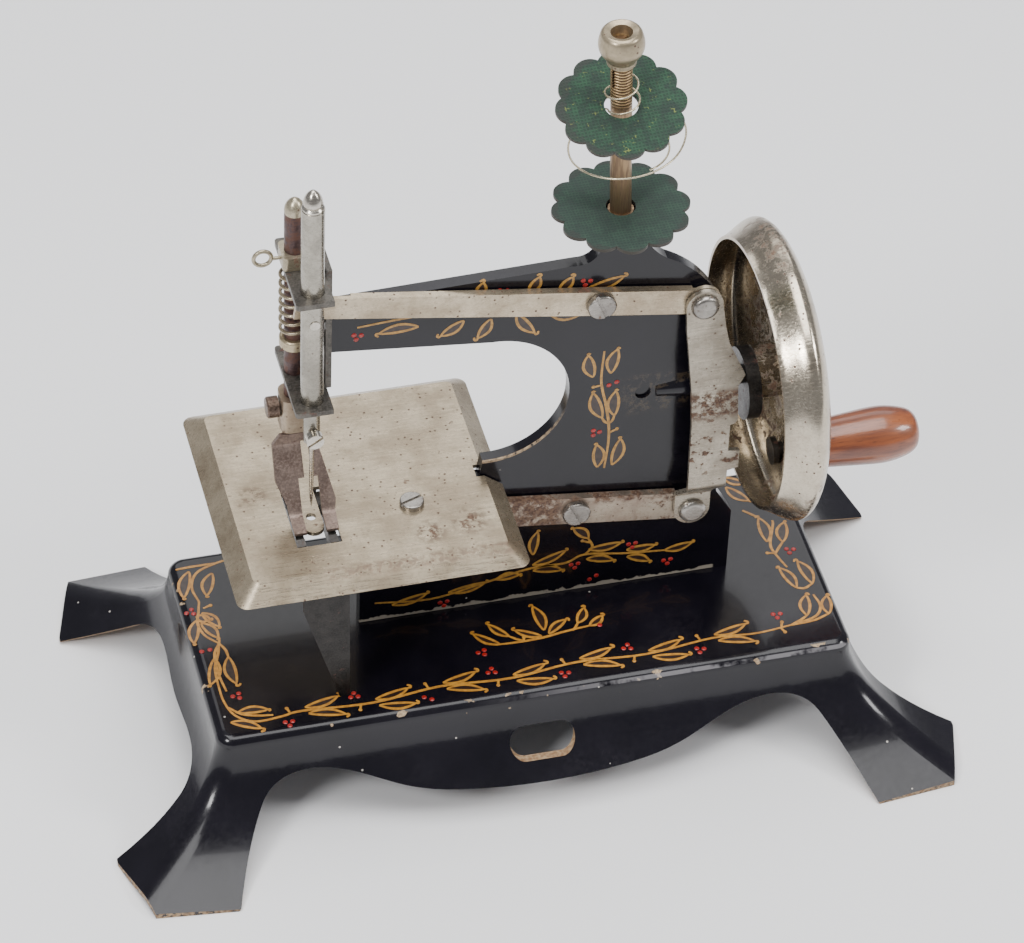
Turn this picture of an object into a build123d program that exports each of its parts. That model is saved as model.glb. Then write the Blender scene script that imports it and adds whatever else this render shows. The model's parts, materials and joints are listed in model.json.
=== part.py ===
from build123d import *
from math import cos, radians, sin
import os

# Toy hand-crank sewing machine of pressed steel, in millimetres.
# +X runs along the arm from the needle to the handwheel, +Y is the back, +Z is up.
# The origin is the centre of the base, on the surface that it stands on.
# Every moving piece is drawn where it rests: needle bar up, presser foot down.

os.makedirs("parts", exist_ok=True)

# ---------------------------------------------------------------- driving dimensions
SHEET = 1.0  # thickness of the pressed sheet
PLAY = 0.05  # radial clearance of a shaft in its own bearing

# base
BASE_HALF_X = 73.0
BASE_HALF_Y = 29.9
BASE_TOP = 27.5
SKIRT_FLARE = 24.0  # how far the skirt has spread where it meets the ground
SKIRT_POWER = 2.5  # above 1 the skirt starts steep and ends nearly flat
BASE_CORNER = 4.0
BASE_RIM = 2.4
FOOT_FRONT = (73.8, 54.7)
FOOT_TIP = (91.9, 52.8)
FOOT_SIDE = (97.1, 35.8)
CLAMP_SLOT = (15.0, 6.8)
CLAMP_SLOT_Z = 15.7

# arm, a shallow pressed tray whose flat front lies on y = 0
ARM_DEPTH = 3.0
ARM_LEFT = -41.7
LIMB_LEFT = -34.5
LIMB_RIGHT = 51.5
ARM_MID_Y = ARM_DEPTH / 2
PLATE_TOP = 68.0
LIMB_TOP = PLATE_TOP - SHEET - 0.1
POST_X = 21.3
POST_FOOT_Z = 138.2

# drive
AXLE_Z = 85.5
AXLE_R = 2.2
BUSH_R = 2.9
BUSH_LEFT = 40.0
BUSH_RIGHT = 49.5
HANDLE_Z = 60.4
HANDLE_PIN_R = 1.8
WHEEL_LEFT = 52.3
WHEEL_MOUTH_R = 29.8
WHEEL_LIP = 0.8  # thickness of the sheet at the wheel's mouth
CAM_LEFT = 51.2
CAM_RIGHT = 54.2
CAM_R = 8.2
CAM_THROW = 2.8

# levers: pivot point, slope down to the right, and the plane of the lever's web
UPPER_PIVOT = (17.1, 115.5)
LOWER_PIVOT = (14.1, 54.5)
UPPER_SLOPE = 9.2
LOWER_SLOPE = 7.65
UPPER_RIGHT_ARM = 23.4
LOWER_RIGHT_ARM = 27.0
LEVER_FRONT = -2.2
LEVER_BACK = LEVER_FRONT + SHEET
LEVER_FLANGE_BACK = -0.4
PIVOT_R = 1.9
RIVET_R = 1.8
RIVET_HEAD_R = 3.1
LINK_BACK = LEVER_FRONT - 0.4
LINK_FRONT = LINK_BACK - SHEET
OPEN_PIVOT_PLAY = 0.5  # the link's lower eye is the opened pivot of the linkage

# head
NEEDLE_X = -46.9
NEEDLE_Y = -5.0
NEEDLE_BAR_R = 2.5
PRESSER_X = -48.5
PRESSER_Y = 5.2
PRESSER_R = 2.25
GUIDE_TOP_Z = 132.0
GUIDE_LOW_Z = 101.5
GUIDE_T = 1.3
HEAD_RIVETS_Z = (114.0, 120.5)
SPRING_LOW = 113.4
SPRING_HIGH = 131.6
SPRING_R = 0.4
SPRING_TURNS = 7

# cloth plate
PLATE_SIZE = (65.0, 62.3)
PLATE_CENTRE = (-35.1, 4.35)
PLATE_BEVEL = 4.2
PLATE_RIM_Z = 64.6

# looper
LOOPER_PIVOT = (-30.5, 55.57)
LOOPER_TAIL = 8.4
LOOPER_TAIL_RISE = 26.6  # degrees above the horizontal when the needle is up

# thread tension
POST_R = 2.3
POST_HEIGHT = 45.8
POST_LEAN = 2.6  # degrees that the post leans to the left
LOWER_DISC_Z = 138.5
LOWER_DISC_R = 15.0
UPPER_DISC_HEIGHT = 28.6  # up the post
UPPER_DISC_R = 13.9
UPPER_DISC_TILT = 14.0  # degrees that it dips at its front left
UPPER_DISC_FACING = 16.0  # degrees to the left of the front
UPPER_DISC_HOLE_R = 3.6
NUT_HEIGHT = 40.2  # up the post
DISC_T = 0.8
PETALS = 12
PETAL_R = 3.6


def along(pivot, slope, distance):
    """The X, Z point at a distance to the right of a pivot on a lever that slopes down."""
    return (pivot[0] + distance * cos(radians(slope)), pivot[1] - distance * sin(radians(slope)))


UPPER_RIVET = along(UPPER_PIVOT, UPPER_SLOPE, UPPER_RIGHT_ARM)
LOWER_RIVET = along(LOWER_PIVOT, LOWER_SLOPE, LOWER_RIGHT_ARM)
UPPER_LEFT_ARM = (UPPER_PIVOT[0] - NEEDLE_X) / cos(radians(UPPER_SLOPE))
LEVER_PIN = along(UPPER_PIVOT, UPPER_SLOPE, -UPPER_LEFT_ARM)
LOOPER_PIN = along(LOOPER_PIVOT, -LOOPER_TAIL_RISE, LOOPER_TAIL)


def front_plane(y, point=(0.0, 0.0), slope=0.0):
    """A sketch plane facing the front at depth y: local x to the right, local y up."""
    return Plane(
        origin=(point[0], y, point[1]),
        x_dir=(cos(radians(slope)), 0, -sin(radians(slope))),
        z_dir=(0, -1, 0),
    )


def flare(height):
    """How far the base's skirt stands out from the plateau's edge at a height."""
    drop = (BASE_TOP - height) / (BASE_TOP - SHEET)
    return SKIRT_FLARE * drop**SKIRT_POWER


def mirrored(left_half):
    """A symmetrical outline: its left half, which ends at the middle, and the same points reflected."""
    return [*left_half, *[(-across, height) for across, height in reversed(left_half[:-1])]]


# ---------------------------------------------------------------- base
SKIRT_LEVELS = (-1.5, 1.0, 3.5, 6.5, 10.0, 14.0, 18.0, 22.5, BASE_TOP)
APRON_WAVE = (
    (-64.5, 12.4),
    (-60.5, 15.8),
    (-55.5, 17.3),
    (-46.0, 16.4),
    (-33.0, 12.0),
    (-17.0, 9.6),
    (0, 9.0),
)
END_ARCH = ((-27.5, 9.5), (-24.4, 12.5), (-19.5, 14.6), (-9.0, 15.0), (0, 14.5))

with BuildPart() as base_hollow:
    for level in SKIRT_LEVELS:
        with BuildSketch(Plane.XY.offset(level - SHEET)):
            RectangleRounded(
                2 * (BASE_HALF_X + flare(level) - SHEET),
                2 * (BASE_HALF_Y + flare(level) - SHEET),
                BASE_CORNER - SHEET,
            )
    loft()
    fillet(base_hollow.faces().sort_by(Axis.Z)[-1].edges(), BASE_RIM - SHEET)

with BuildPart() as base_shell:
    for level in SKIRT_LEVELS:
        with BuildSketch(Plane.XY.offset(level)):
            RectangleRounded(
                2 * (BASE_HALF_X + flare(level)),
                2 * (BASE_HALF_Y + flare(level)),
                BASE_CORNER,
            )
    loft()
    fillet(base_shell.faces().sort_by(Axis.Z)[-1].edges(), BASE_RIM)
    add(base_hollow.part, mode=Mode.SUBTRACT)
    # the arrowhead outline of the four feet, seen from above
    with BuildSketch(Plane.XY):
        with BuildLine():
            quarter = Polyline((0, FOOT_FRONT[1]), FOOT_FRONT, FOOT_TIP, FOOT_SIDE, (FOOT_SIDE[0], 0))
            mirror(quarter, about=Plane.XZ)
            mirror(about=Plane.YZ)
        make_face()
    extrude(amount=BASE_TOP + 1, mode=Mode.INTERSECT)
    # the wavy apron between the legs, front and back
    with BuildSketch(Plane.XZ):
        with BuildLine():
            Spline(*mirrored(APRON_WAVE))
            Polyline(APRON_WAVE[0], (-76.0, -3.0), (76.0, -3.0), (64.5, 12.4))
        make_face()
    extrude(amount=70, both=True, mode=Mode.SUBTRACT)
    # the flatter arch between the legs at each end
    with BuildSketch(Plane.YZ):
        with BuildLine():
            Spline(*mirrored(END_ARCH))
            Polyline(END_ARCH[0], (-37.5, -2.8), (37.5, -2.8), (27.5, 9.5))
        make_face()
    extrude(amount=110, both=True, mode=Mode.SUBTRACT)
    # the slot for a table clamp, in the front apron only
    with BuildSketch(front_plane(-20.0, (0.0, CLAMP_SLOT_Z))):
        SlotOverall(*CLAMP_SLOT)
    extrude(amount=30, mode=Mode.SUBTRACT)
    # holes for the two screws that hold the arm
    with BuildSketch(Plane.XY.offset(BASE_TOP)):
        with Locations((-22.0, 7.0), (38.0, 7.0)):
            Circle(1.6)
    extrude(amount=-5, mode=Mode.SUBTRACT)
base_shell.part.label = "base_shell"
export_step(base_shell.part, "parts/base_shell.step")

# ---------------------------------------------------------------- arm
with BuildSketch(Plane.XZ) as arm_outline:
    with BuildLine():
        Polyline(
            (-7.9, LIMB_TOP),
            (LIMB_LEFT, LIMB_TOP),
            (LIMB_LEFT, BASE_TOP),
            (LIMB_RIGHT, BASE_TOP),
            (LIMB_RIGHT, 45.0),
            (47.5, 52.0),
            (46.6, 100.0),
        )
        ThreePointArc((46.6, 100.0), (41.6, 115.5), (32.0, 124.0))
        ThreePointArc((32.0, 124.0), (27.4, 129.4), (25.6, 137.2))
        Polyline((25.6, 137.2), (17.0, 137.2), (17.0, 130.4))
        ThreePointArc((17.0, 130.4), (15.9, 126.8), (12.0, 125.4))
        Polyline((12.0, 125.4), (ARM_LEFT, 123.8), (ARM_LEFT, 110.8), (-6.0, 106.9))
        ThreePointArc((-6.0, 106.9), (11.7, 90.8), (-7.2, 71.9))
        Line((-7.2, 71.9), (-7.9, LIMB_TOP))
    make_face()

with BuildPart() as arm_frame:
    extrude(arm_outline.sketch, amount=-ARM_DEPTH)
    with BuildSketch(front_plane(SHEET)):
        add(arm_outline.sketch_local)
        offset(amount=-SHEET, mode=Mode.REPLACE)
    extrude(amount=-ARM_DEPTH, mode=Mode.SUBTRACT)
    # two tabs folded back from the foot
    for tab_x in (-22.0, 38.0):
        with Locations((tab_x, 5.5, BASE_TOP + SHEET / 2)):
            Box(12, 9, SHEET)
    # boss for the tension post, and the cone that swells round the axle's bush
    with Locations((POST_X, ARM_MID_Y, (POST_FOOT_Z + 134.0) / 2)):
        Cylinder(4.2, POST_FOOT_Z - 134.0)
    with Locations(Location((39.6, ARM_MID_Y, AXLE_Z), (0, 90, 0))):
        Cone(2.2, 4.2, 16.0)
    with Locations(Location((BUSH_LEFT + 5.0, ARM_MID_Y, AXLE_Z), (0, 90, 0))):
        Cylinder(BUSH_R, 10.0, mode=Mode.SUBTRACT)
    # holes: post, pivots, looper stud, the blind hole in the column, foot screws
    with BuildSketch(Plane.XY.offset(POST_FOOT_Z)):
        with Locations((POST_X, ARM_MID_Y)):
            Circle(1.5)
    extrude(amount=-4.0, mode=Mode.SUBTRACT)
    with BuildSketch(front_plane(-0.5)):
        with Locations(UPPER_PIVOT, LOWER_PIVOT):
            Circle(PIVOT_R)
        with Locations(LOOPER_PIVOT):
            Circle(1.5)
    extrude(amount=-2.0, mode=Mode.SUBTRACT)
    with BuildSketch(front_plane(-0.5)):
        with Locations((28.6, AXLE_Z + 0.2)):
            Circle(1.8)
    extrude(amount=-1.2, mode=Mode.SUBTRACT)
    with BuildSketch(Plane.XY.offset(BASE_TOP)):
        with Locations((-22.0, 7.0), (38.0, 7.0)):
            Circle(1.6)
    extrude(amount=2.0, mode=Mode.SUBTRACT)
    # rivet holes in the wall at the left end
    with BuildSketch(Plane.YZ.offset(ARM_LEFT - 0.5)):
        with Locations((ARM_MID_Y, HEAD_RIVETS_Z[0]), (ARM_MID_Y, HEAD_RIVETS_Z[1])):
            Circle(0.9)
    extrude(amount=2.0, mode=Mode.SUBTRACT)
arm_frame.part.label = "arm_frame"
export_step(arm_frame.part, "parts/arm_frame.step")

# ---------------------------------------------------------------- axle bearing
with BuildPart() as axle_bush:
    with Locations(Location(((BUSH_LEFT + BUSH_RIGHT) / 2, ARM_MID_Y, AXLE_Z), (0, 90, 0))):
        Cylinder(BUSH_R, BUSH_RIGHT - BUSH_LEFT)
        Cylinder(AXLE_R + PLAY, BUSH_RIGHT - BUSH_LEFT, mode=Mode.SUBTRACT)
axle_bush.part.label = "axle_bush"
export_step(axle_bush.part, "parts/axle_bush.step")

with BuildPart() as arm_screws:
    for screw_x in (-22.0, 38.0):
        with Locations((screw_x, 7.0, BASE_TOP + SHEET + 0.7)):
            Cylinder(3.0, 1.4)
        with Locations((screw_x, 7.0, BASE_TOP - 2.0)):
            Cylinder(1.6, 6.0)
        with BuildSketch(Plane.XY.offset(BASE_TOP - SHEET)):
            with Locations((screw_x, 7.0)):
                RegularPolygon(3.0, 6)
        extrude(amount=-2.2)
        with Locations((screw_x, 7.0, BASE_TOP + SHEET + 1.4)):
            Box(6.2, 0.8, 1.2, mode=Mode.SUBTRACT)
arm_screws.part.label = "arm_screws"
export_step(arm_screws.part, "parts/arm_screws.step")

# ---------------------------------------------------------------- head
GUIDE_MIN = (-51.2, -9.2)
GUIDE_MAX = (-43.0, 13.2)
WEB_FRONT = -0.8

with BuildPart() as head_bracket:
    with BuildSketch(Plane.YZ.offset(GUIDE_MAX[0])):
        with BuildLine():
            Polyline(
                (GUIDE_MAX[1] - 0.6, GUIDE_TOP_Z + 2.6),
                (WEB_FRONT, GUIDE_TOP_Z + 2.6),
                (WEB_FRONT, GUIDE_LOW_Z),
                (GUIDE_MAX[1] - 0.6, GUIDE_LOW_Z),
                close=True,
            )
        make_face()
    extrude(amount=GUIDE_T)
    for guide_z in (GUIDE_LOW_Z, GUIDE_TOP_Z):
        with BuildSketch(Plane.XY.offset(guide_z)):
            with Locations(((GUIDE_MIN[0] + GUIDE_MAX[0]) / 2, (GUIDE_MIN[1] + GUIDE_MAX[1]) / 2)):
                Rectangle(GUIDE_MAX[0] - GUIDE_MIN[0], GUIDE_MAX[1] - GUIDE_MIN[1])
            with Locations((NEEDLE_X, NEEDLE_Y)):
                Circle(NEEDLE_BAR_R + PLAY, mode=Mode.SUBTRACT)
            with Locations((PRESSER_X, PRESSER_Y)):
                Circle(PRESSER_R + PLAY, mode=Mode.SUBTRACT)
        extrude(amount=GUIDE_T)
    fillet(head_bracket.edges().filter_by(Axis.Z).group_by(Axis.X)[0], 0.8)
    with BuildSketch(Plane.YZ.offset(GUIDE_MAX[0])):
        with Locations((ARM_MID_Y, HEAD_RIVETS_Z[0]), (ARM_MID_Y, HEAD_RIVETS_Z[1])):
            Circle(0.9)
    extrude(amount=GUIDE_T, mode=Mode.SUBTRACT)
head_bracket.part.label = "head_bracket"
export_step(head_bracket.part, "parts/head_bracket.step")

with BuildPart() as head_rivets:
    for rivet_z in HEAD_RIVETS_Z:
        with Locations(Location((GUIDE_MAX[0] + 0.5, ARM_MID_Y, rivet_z), (0, 90, 0))):
            Cylinder(0.9, 3.2)
        with Locations(Location((GUIDE_MAX[0] - 0.4, ARM_MID_Y, rivet_z), (0, 90, 0))):
            Cylinder(1.7, 0.8)
head_rivets.part.label = "head_rivets"
export_step(head_rivets.part, "parts/head_rivets.step")

# ---------------------------------------------------------------- needle bar and what it carries
NEEDLE_BAR_TOP = 156.0
NEEDLE_BAR_LOW = 91.0
NEEDLE_TIP_Z = 70.8
NEEDLE_R = 0.5
CLAMP_Z = 93.6

with BuildPart() as needle_bar:
    with BuildSketch(Plane.XY.offset(NEEDLE_BAR_LOW)):
        with Locations((NEEDLE_X, NEEDLE_Y)):
            Circle(1.8)
    extrude(amount=9.0)
    with BuildSketch(Plane.XY.offset(NEEDLE_BAR_LOW + 9.0)):
        with Locations((NEEDLE_X, NEEDLE_Y)):
            Circle(NEEDLE_BAR_R)
    extrude(amount=NEEDLE_BAR_TOP - NEEDLE_BAR_LOW - 9.0)
    # cross hole for the lever's pin, needle socket, clamp screw hole
    with BuildSketch(front_plane(NEEDLE_Y - NEEDLE_BAR_R - 1)):
        with Locations(LEVER_PIN):
            Circle(1.1)
    extrude(amount=-8.0, mode=Mode.SUBTRACT)
    with BuildSketch(Plane.XY.offset(NEEDLE_BAR_LOW)):
        with Locations((NEEDLE_X, NEEDLE_Y)):
            Circle(NEEDLE_R)
    extrude(amount=7.0, mode=Mode.SUBTRACT)
    with BuildSketch(front_plane(NEEDLE_Y)):
        with Locations((NEEDLE_X, CLAMP_Z)):
            Circle(0.8)
    extrude(amount=3.0, mode=Mode.SUBTRACT)
needle_bar.part.label = "needle_bar"
export_step(needle_bar.part, "parts/needle_bar.step")

with BuildPart() as needle_bar_cap:
    with BuildSketch(front_plane(NEEDLE_Y, (NEEDLE_X, NEEDLE_BAR_TOP))):
        with BuildLine():
            Polyline((0, 4.9), (0, 0), (2.35, 0), (2.35, 0.5), (1.95, 0.9), (2.15, 1.6))
            ThreePointArc((2.15, 1.6), (1.75, 3.1), (0.5, 4.7))
            Line((0.5, 4.7), (0, 4.9))
        make_face()
    revolve(axis=Axis((NEEDLE_X, NEEDLE_Y, 0), (0, 0, 1)))
needle_bar_cap.part.label = "needle_bar_cap"
export_step(needle_bar_cap.part, "parts/needle_bar_cap.step")

with BuildPart() as lever_pin:
    with BuildSketch(front_plane(NEEDLE_Y - NEEDLE_BAR_R - 0.2)):
        with Locations(LEVER_PIN):
            Circle(1.1)
    extrude(amount=-(LEVER_BACK - NEEDLE_Y + NEEDLE_BAR_R + 0.4))
lever_pin.part.label = "lever_pin"
export_step(lever_pin.part, "parts/lever_pin.step")

with BuildPart() as needle:
    with BuildSketch(front_plane(NEEDLE_Y, (NEEDLE_X, NEEDLE_TIP_Z))):
        with BuildLine():
            needle_top = NEEDLE_BAR_LOW + 7.0 - NEEDLE_TIP_Z
            Polyline(
                (0, 0),
                (NEEDLE_R * 0.7, 3.0),
                (NEEDLE_R, 9.0),
                (NEEDLE_R, needle_top),
                (0, needle_top),
                close=True,
            )
        make_face()
    revolve(axis=Axis((NEEDLE_X, NEEDLE_Y, 0), (0, 0, 1)))
    # the eye
    with BuildSketch(front_plane(NEEDLE_Y - 1)):
        with Locations((NEEDLE_X, NEEDLE_TIP_Z + 4.2)):
            SlotOverall(1.2, 0.34, rotation=90)
    extrude(amount=-2.0, mode=Mode.SUBTRACT)
needle.part.label = "needle"
export_step(needle.part, "parts/needle.step")

with BuildPart() as needle_screw:
    with BuildSketch(front_plane(NEEDLE_Y - NEEDLE_R, (NEEDLE_X, CLAMP_Z))):
        Circle(0.8)
    extrude(amount=2.2)
    with BuildSketch(front_plane(NEEDLE_Y - 1.9, (NEEDLE_X, CLAMP_Z))):
        Circle(1.9)
    extrude(amount=2.0)
    with BuildSketch(front_plane(NEEDLE_Y - 3.2, (NEEDLE_X, CLAMP_Z), -35)):
        Rectangle(4.4, 0.6)
    extrude(amount=1.2, mode=Mode.SUBTRACT)
needle_screw.part.label = "needle_screw"
export_step(needle_screw.part, "parts/needle_screw.step")

# ---------------------------------------------------------------- presser bar and what it carries
PRESSER_TOP = 147.0
PRESSER_LOW = 88.0
FOOT_BLOCK_TOP = 96.0

with BuildPart() as presser_bar:
    with BuildSketch(Plane.XY.offset(PRESSER_LOW)):
        with Locations((PRESSER_X, PRESSER_Y)):
            Circle(PRESSER_R)
    extrude(amount=PRESSER_TOP - PRESSER_LOW)
presser_bar.part.label = "presser_bar"
export_step(presser_bar.part, "parts/presser_bar.step")

with BuildPart() as presser_cap:
    with BuildSketch(front_plane(PRESSER_Y, (PRESSER_X, PRESSER_TOP))):
        with BuildLine():
            Polyline((0, 3.8), (0, 0), (PRESSER_R, 0), (PRESSER_R, 0.8))
            ThreePointArc((PRESSER_R, 0.8), (1.7, 2.4), (0.5, 3.6))
            Line((0.5, 3.6), (0, 3.8))
        make_face()
    revolve(axis=Axis((PRESSER_X, PRESSER_Y, 0), (0, 0, 1)))
presser_cap.part.label = "presser_cap"
export_step(presser_cap.part, "parts/presser_cap.step")

with BuildPart() as presser_stop:
    with BuildSketch(Plane.XY.offset(GUIDE_TOP_Z + GUIDE_T + 0.1)):
        with Locations((PRESSER_X, PRESSER_Y)):
            RectangleRounded(6.2, 6.4, 1.2)
            Circle(PRESSER_R, mode=Mode.SUBTRACT)
    extrude(amount=3.4)
    with Locations(Location((PRESSER_X - 2.7, PRESSER_Y, GUIDE_TOP_Z + GUIDE_T + 1.6), (0, 90, 0))):
        Cylinder(0.4, 1.0, mode=Mode.SUBTRACT)
presser_stop.part.label = "presser_stop"
export_step(presser_stop.part, "parts/presser_stop.step")

with BuildPart() as thread_eye:
    eye_z = GUIDE_TOP_Z + GUIDE_T + 1.6
    with Locations(Location((PRESSER_X - 6.9, PRESSER_Y, eye_z + 0.4), (90, 0, 0))):
        Torus(1.9, 0.45)
    with Locations(Location((PRESSER_X - 3.75, PRESSER_Y, eye_z), (0, 90, 0))):
        Cylinder(0.4, 2.9)
thread_eye.part.label = "thread_eye"
export_step(thread_eye.part, "parts/thread_eye.step")

with BuildPart() as spring_collar:
    with BuildSketch(Plane.XY.offset(110.4)):
        with Locations((PRESSER_X, PRESSER_Y)):
            Circle(3.3)
            Circle(PRESSER_R, mode=Mode.SUBTRACT)
    extrude(amount=2.4)
    top_circles = spring_collar.edges().filter_by(GeomType.CIRCLE).group_by(Axis.Z)[-1]
    fillet(top_circles.sort_by(SortBy.LENGTH)[-1], 0.6)
spring_collar.part.label = "spring_collar"
export_step(spring_collar.part, "parts/spring_collar.step")

with BuildPart() as presser_spring:
    with BuildLine():
        spring_points = []
        for step in range(8 * SPRING_TURNS + 1):
            angle = radians(45 * step)
            rise = (SPRING_HIGH - SPRING_LOW - 2 * SPRING_R) * step / (8 * SPRING_TURNS)
            spring_points.append(
                (PRESSER_X + 3.05 * cos(angle), PRESSER_Y + 3.05 * sin(angle), SPRING_LOW + SPRING_R + rise)
            )
        coil = Spline(*spring_points)
    with BuildSketch(Plane(origin=coil @ 0, z_dir=coil % 0)):
        Circle(SPRING_R)
    sweep()
presser_spring.part.label = "presser_spring"
export_step(presser_spring.part, "parts/presser_spring.step")

with BuildPart() as foot_block:
    with BuildSketch(Plane.XY.offset(87.0)):
        with Locations((PRESSER_X, PRESSER_Y)):
            RectangleRounded(6.6, 6.6, 2.0)
    extrude(amount=FOOT_BLOCK_TOP - 87.0)
    with BuildSketch(Plane.XY.offset(83.4)):
        with Locations((PRESSER_X, 4.9)):
            RectangleRounded(5.0, 3.6, 0.8)
    extrude(amount=3.6)
    with BuildSketch(Plane.XY.offset(PRESSER_LOW)):
        with Locations((PRESSER_X, PRESSER_Y)):
            Circle(PRESSER_R)
    extrude(amount=10.0, mode=Mode.SUBTRACT)
    with Locations(Location((PRESSER_X - 2.8, PRESSER_Y, 92.6), (0, 90, 0))):
        Cylinder(0.9, 1.2, mode=Mode.SUBTRACT)
foot_block.part.label = "foot_block"
export_step(foot_block.part, "parts/foot_block.step")

with BuildPart() as foot_screw:
    with Locations(Location((PRESSER_X - 2.95, PRESSER_Y, 92.6), (0, 90, 0))):
        Cylinder(0.9 - PLAY, 1.3)
    with Locations(Location((PRESSER_X - 4.9, PRESSER_Y, 92.6), (0, 90, 0))):
        Cylinder(2.4, 2.6)
    chamfer(foot_screw.edges().filter_by(GeomType.CIRCLE).group_by(Axis.X)[0], 0.3)
foot_screw.part.label = "foot_screw"
export_step(foot_screw.part, "parts/foot_screw.step")

with BuildPart() as presser_foot:
    # side profile of the bent sheet, then its front outline and the gap between the toes
    with BuildSketch(Plane.YZ.offset(-54.4)):
        with BuildLine():
            FilletPolyline(
                (2.6, 86.6),
                (2.6, 83.4),
                (-1.4, 77.4),
                (-6.0, 70.0),
                (-10.9, 68.85),
                radius=2.6,
            )
        trace(line_width=0.9)
    extrude(amount=14.0)
    with BuildSketch(front_plane(8.0)):
        with BuildLine():
            Polyline(
                (-51.7, 87.6),
                (-54.0, 84.0),
                (-54.2, 77.0),
                (-52.2, 72.2),
                (-51.6, 67.0),
                (-42.4, 67.0),
                (-41.4, 72.6),
                (-43.2, 80.0),
                (-45.2, 87.6),
                close=True,
            )
        make_face()
    extrude(amount=24.0, mode=Mode.INTERSECT)
    with BuildSketch(front_plane(-0.6)):
        with Locations((NEEDLE_X, 70.5)):
            Rectangle(4.4, 13.4)
    extrude(amount=20.0, mode=Mode.SUBTRACT)
    with BuildSketch(front_plane(6.0)):
        with Locations((NEEDLE_X, 80.0)):
            Rectangle(1.7, 9.0)
    extrude(amount=10.0, mode=Mode.SUBTRACT)
presser_foot.part.label = "presser_foot"
export_step(presser_foot.part, "parts/presser_foot.step")

# ---------------------------------------------------------------- levers
COLLAR_R = 2.2  # collars that hold the levers off the arm

with BuildPart() as pivot_collars:
    with BuildSketch(front_plane(0.0)):
        with Locations(UPPER_PIVOT, LOWER_PIVOT):
            Circle(COLLAR_R)
            Circle(PIVOT_R, mode=Mode.SUBTRACT)
    extrude(amount=-LEVER_BACK - 0.1)
pivot_collars.part.label = "pivot_collars"
export_step(pivot_collars.part, "parts/pivot_collars.step")

with BuildPart() as upper_pivot_screw:
    with BuildSketch(front_plane(LEVER_FRONT - 0.1, UPPER_PIVOT)):
        Circle(3.2)
    extrude(amount=1.5)
    fillet(upper_pivot_screw.faces().sort_by(Axis.Y)[0].edges(), 0.5)
    with BuildSketch(front_plane(LEVER_FRONT - 0.1, UPPER_PIVOT)):
        Circle(PIVOT_R)
    extrude(amount=-4.3)
    with BuildSketch(front_plane(LEVER_FRONT - 0.9, UPPER_PIVOT, 68)):
        Rectangle(6.6, 0.8)
    extrude(amount=1.0, mode=Mode.SUBTRACT)
upper_pivot_screw.part.label = "upper_pivot_screw"
export_step(upper_pivot_screw.part, "parts/upper_pivot_screw.step")

with BuildPart() as lower_pivot_screw:
    with BuildSketch(front_plane(LEVER_FRONT - 0.1, LOWER_PIVOT)):
        Circle(3.2)
    extrude(amount=1.5)
    fillet(lower_pivot_screw.faces().sort_by(Axis.Y)[0].edges(), 0.5)
    with BuildSketch(front_plane(LEVER_FRONT - 0.1, LOWER_PIVOT)):
        Circle(PIVOT_R)
    extrude(amount=-4.3)
    with BuildSketch(front_plane(LEVER_FRONT - 0.9, LOWER_PIVOT, 65)):
        Rectangle(6.6, 0.8)
    extrude(amount=1.0, mode=Mode.SUBTRACT)
lower_pivot_screw.part.label = "lower_pivot_screw"
export_step(lower_pivot_screw.part, "parts/lower_pivot_screw.step")

UPPER_END = (UPPER_LEFT_ARM + 3.0, 2.7)  # how far left the upper lever reaches, and its half height there
UPPER_HALF = 3.3
FLANGE_T = 0.8

with BuildPart() as upper_lever:
    with BuildSketch(front_plane(LEVER_FRONT, UPPER_PIVOT, UPPER_SLOPE)):
        Polygon(
            (-UPPER_END[0], -UPPER_END[1]),
            (0, -UPPER_HALF),
            (UPPER_RIGHT_ARM, -UPPER_HALF),
            (UPPER_RIGHT_ARM, UPPER_HALF),
            (0, UPPER_HALF),
            (-UPPER_END[0], UPPER_END[1]),
            align=None,
        )
        with Locations((UPPER_RIGHT_ARM, 0)):
            Circle(4.0)
            Circle(RIVET_R, mode=Mode.SUBTRACT)
        Circle(PIVOT_R + PLAY, mode=Mode.SUBTRACT)
        with Locations((-UPPER_LEFT_ARM + 0.45, 0)):
            SlotOverall(4.4, 2.8, mode=Mode.SUBTRACT)
    extrude(amount=-SHEET)
    # the top edge is folded back, short of the head bracket
    with BuildSketch(front_plane(LEVER_BACK, UPPER_PIVOT, UPPER_SLOPE)):
        Polygon(
            (-56.0, 2.8),
            (0, UPPER_HALF),
            (20.5, UPPER_HALF),
            (20.5, UPPER_HALF - FLANGE_T),
            (0, UPPER_HALF - FLANGE_T),
            (-56.0, 2.8 - FLANGE_T),
            align=None,
        )
    extrude(amount=LEVER_BACK - LEVER_FLANGE_BACK)
upper_lever.part.label = "upper_lever"
export_step(upper_lever.part, "parts/upper_lever.step")

LOWER_HALF = 3.8
LOWER_END = 40.0  # how far left of its pivot the lower lever reaches

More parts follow.
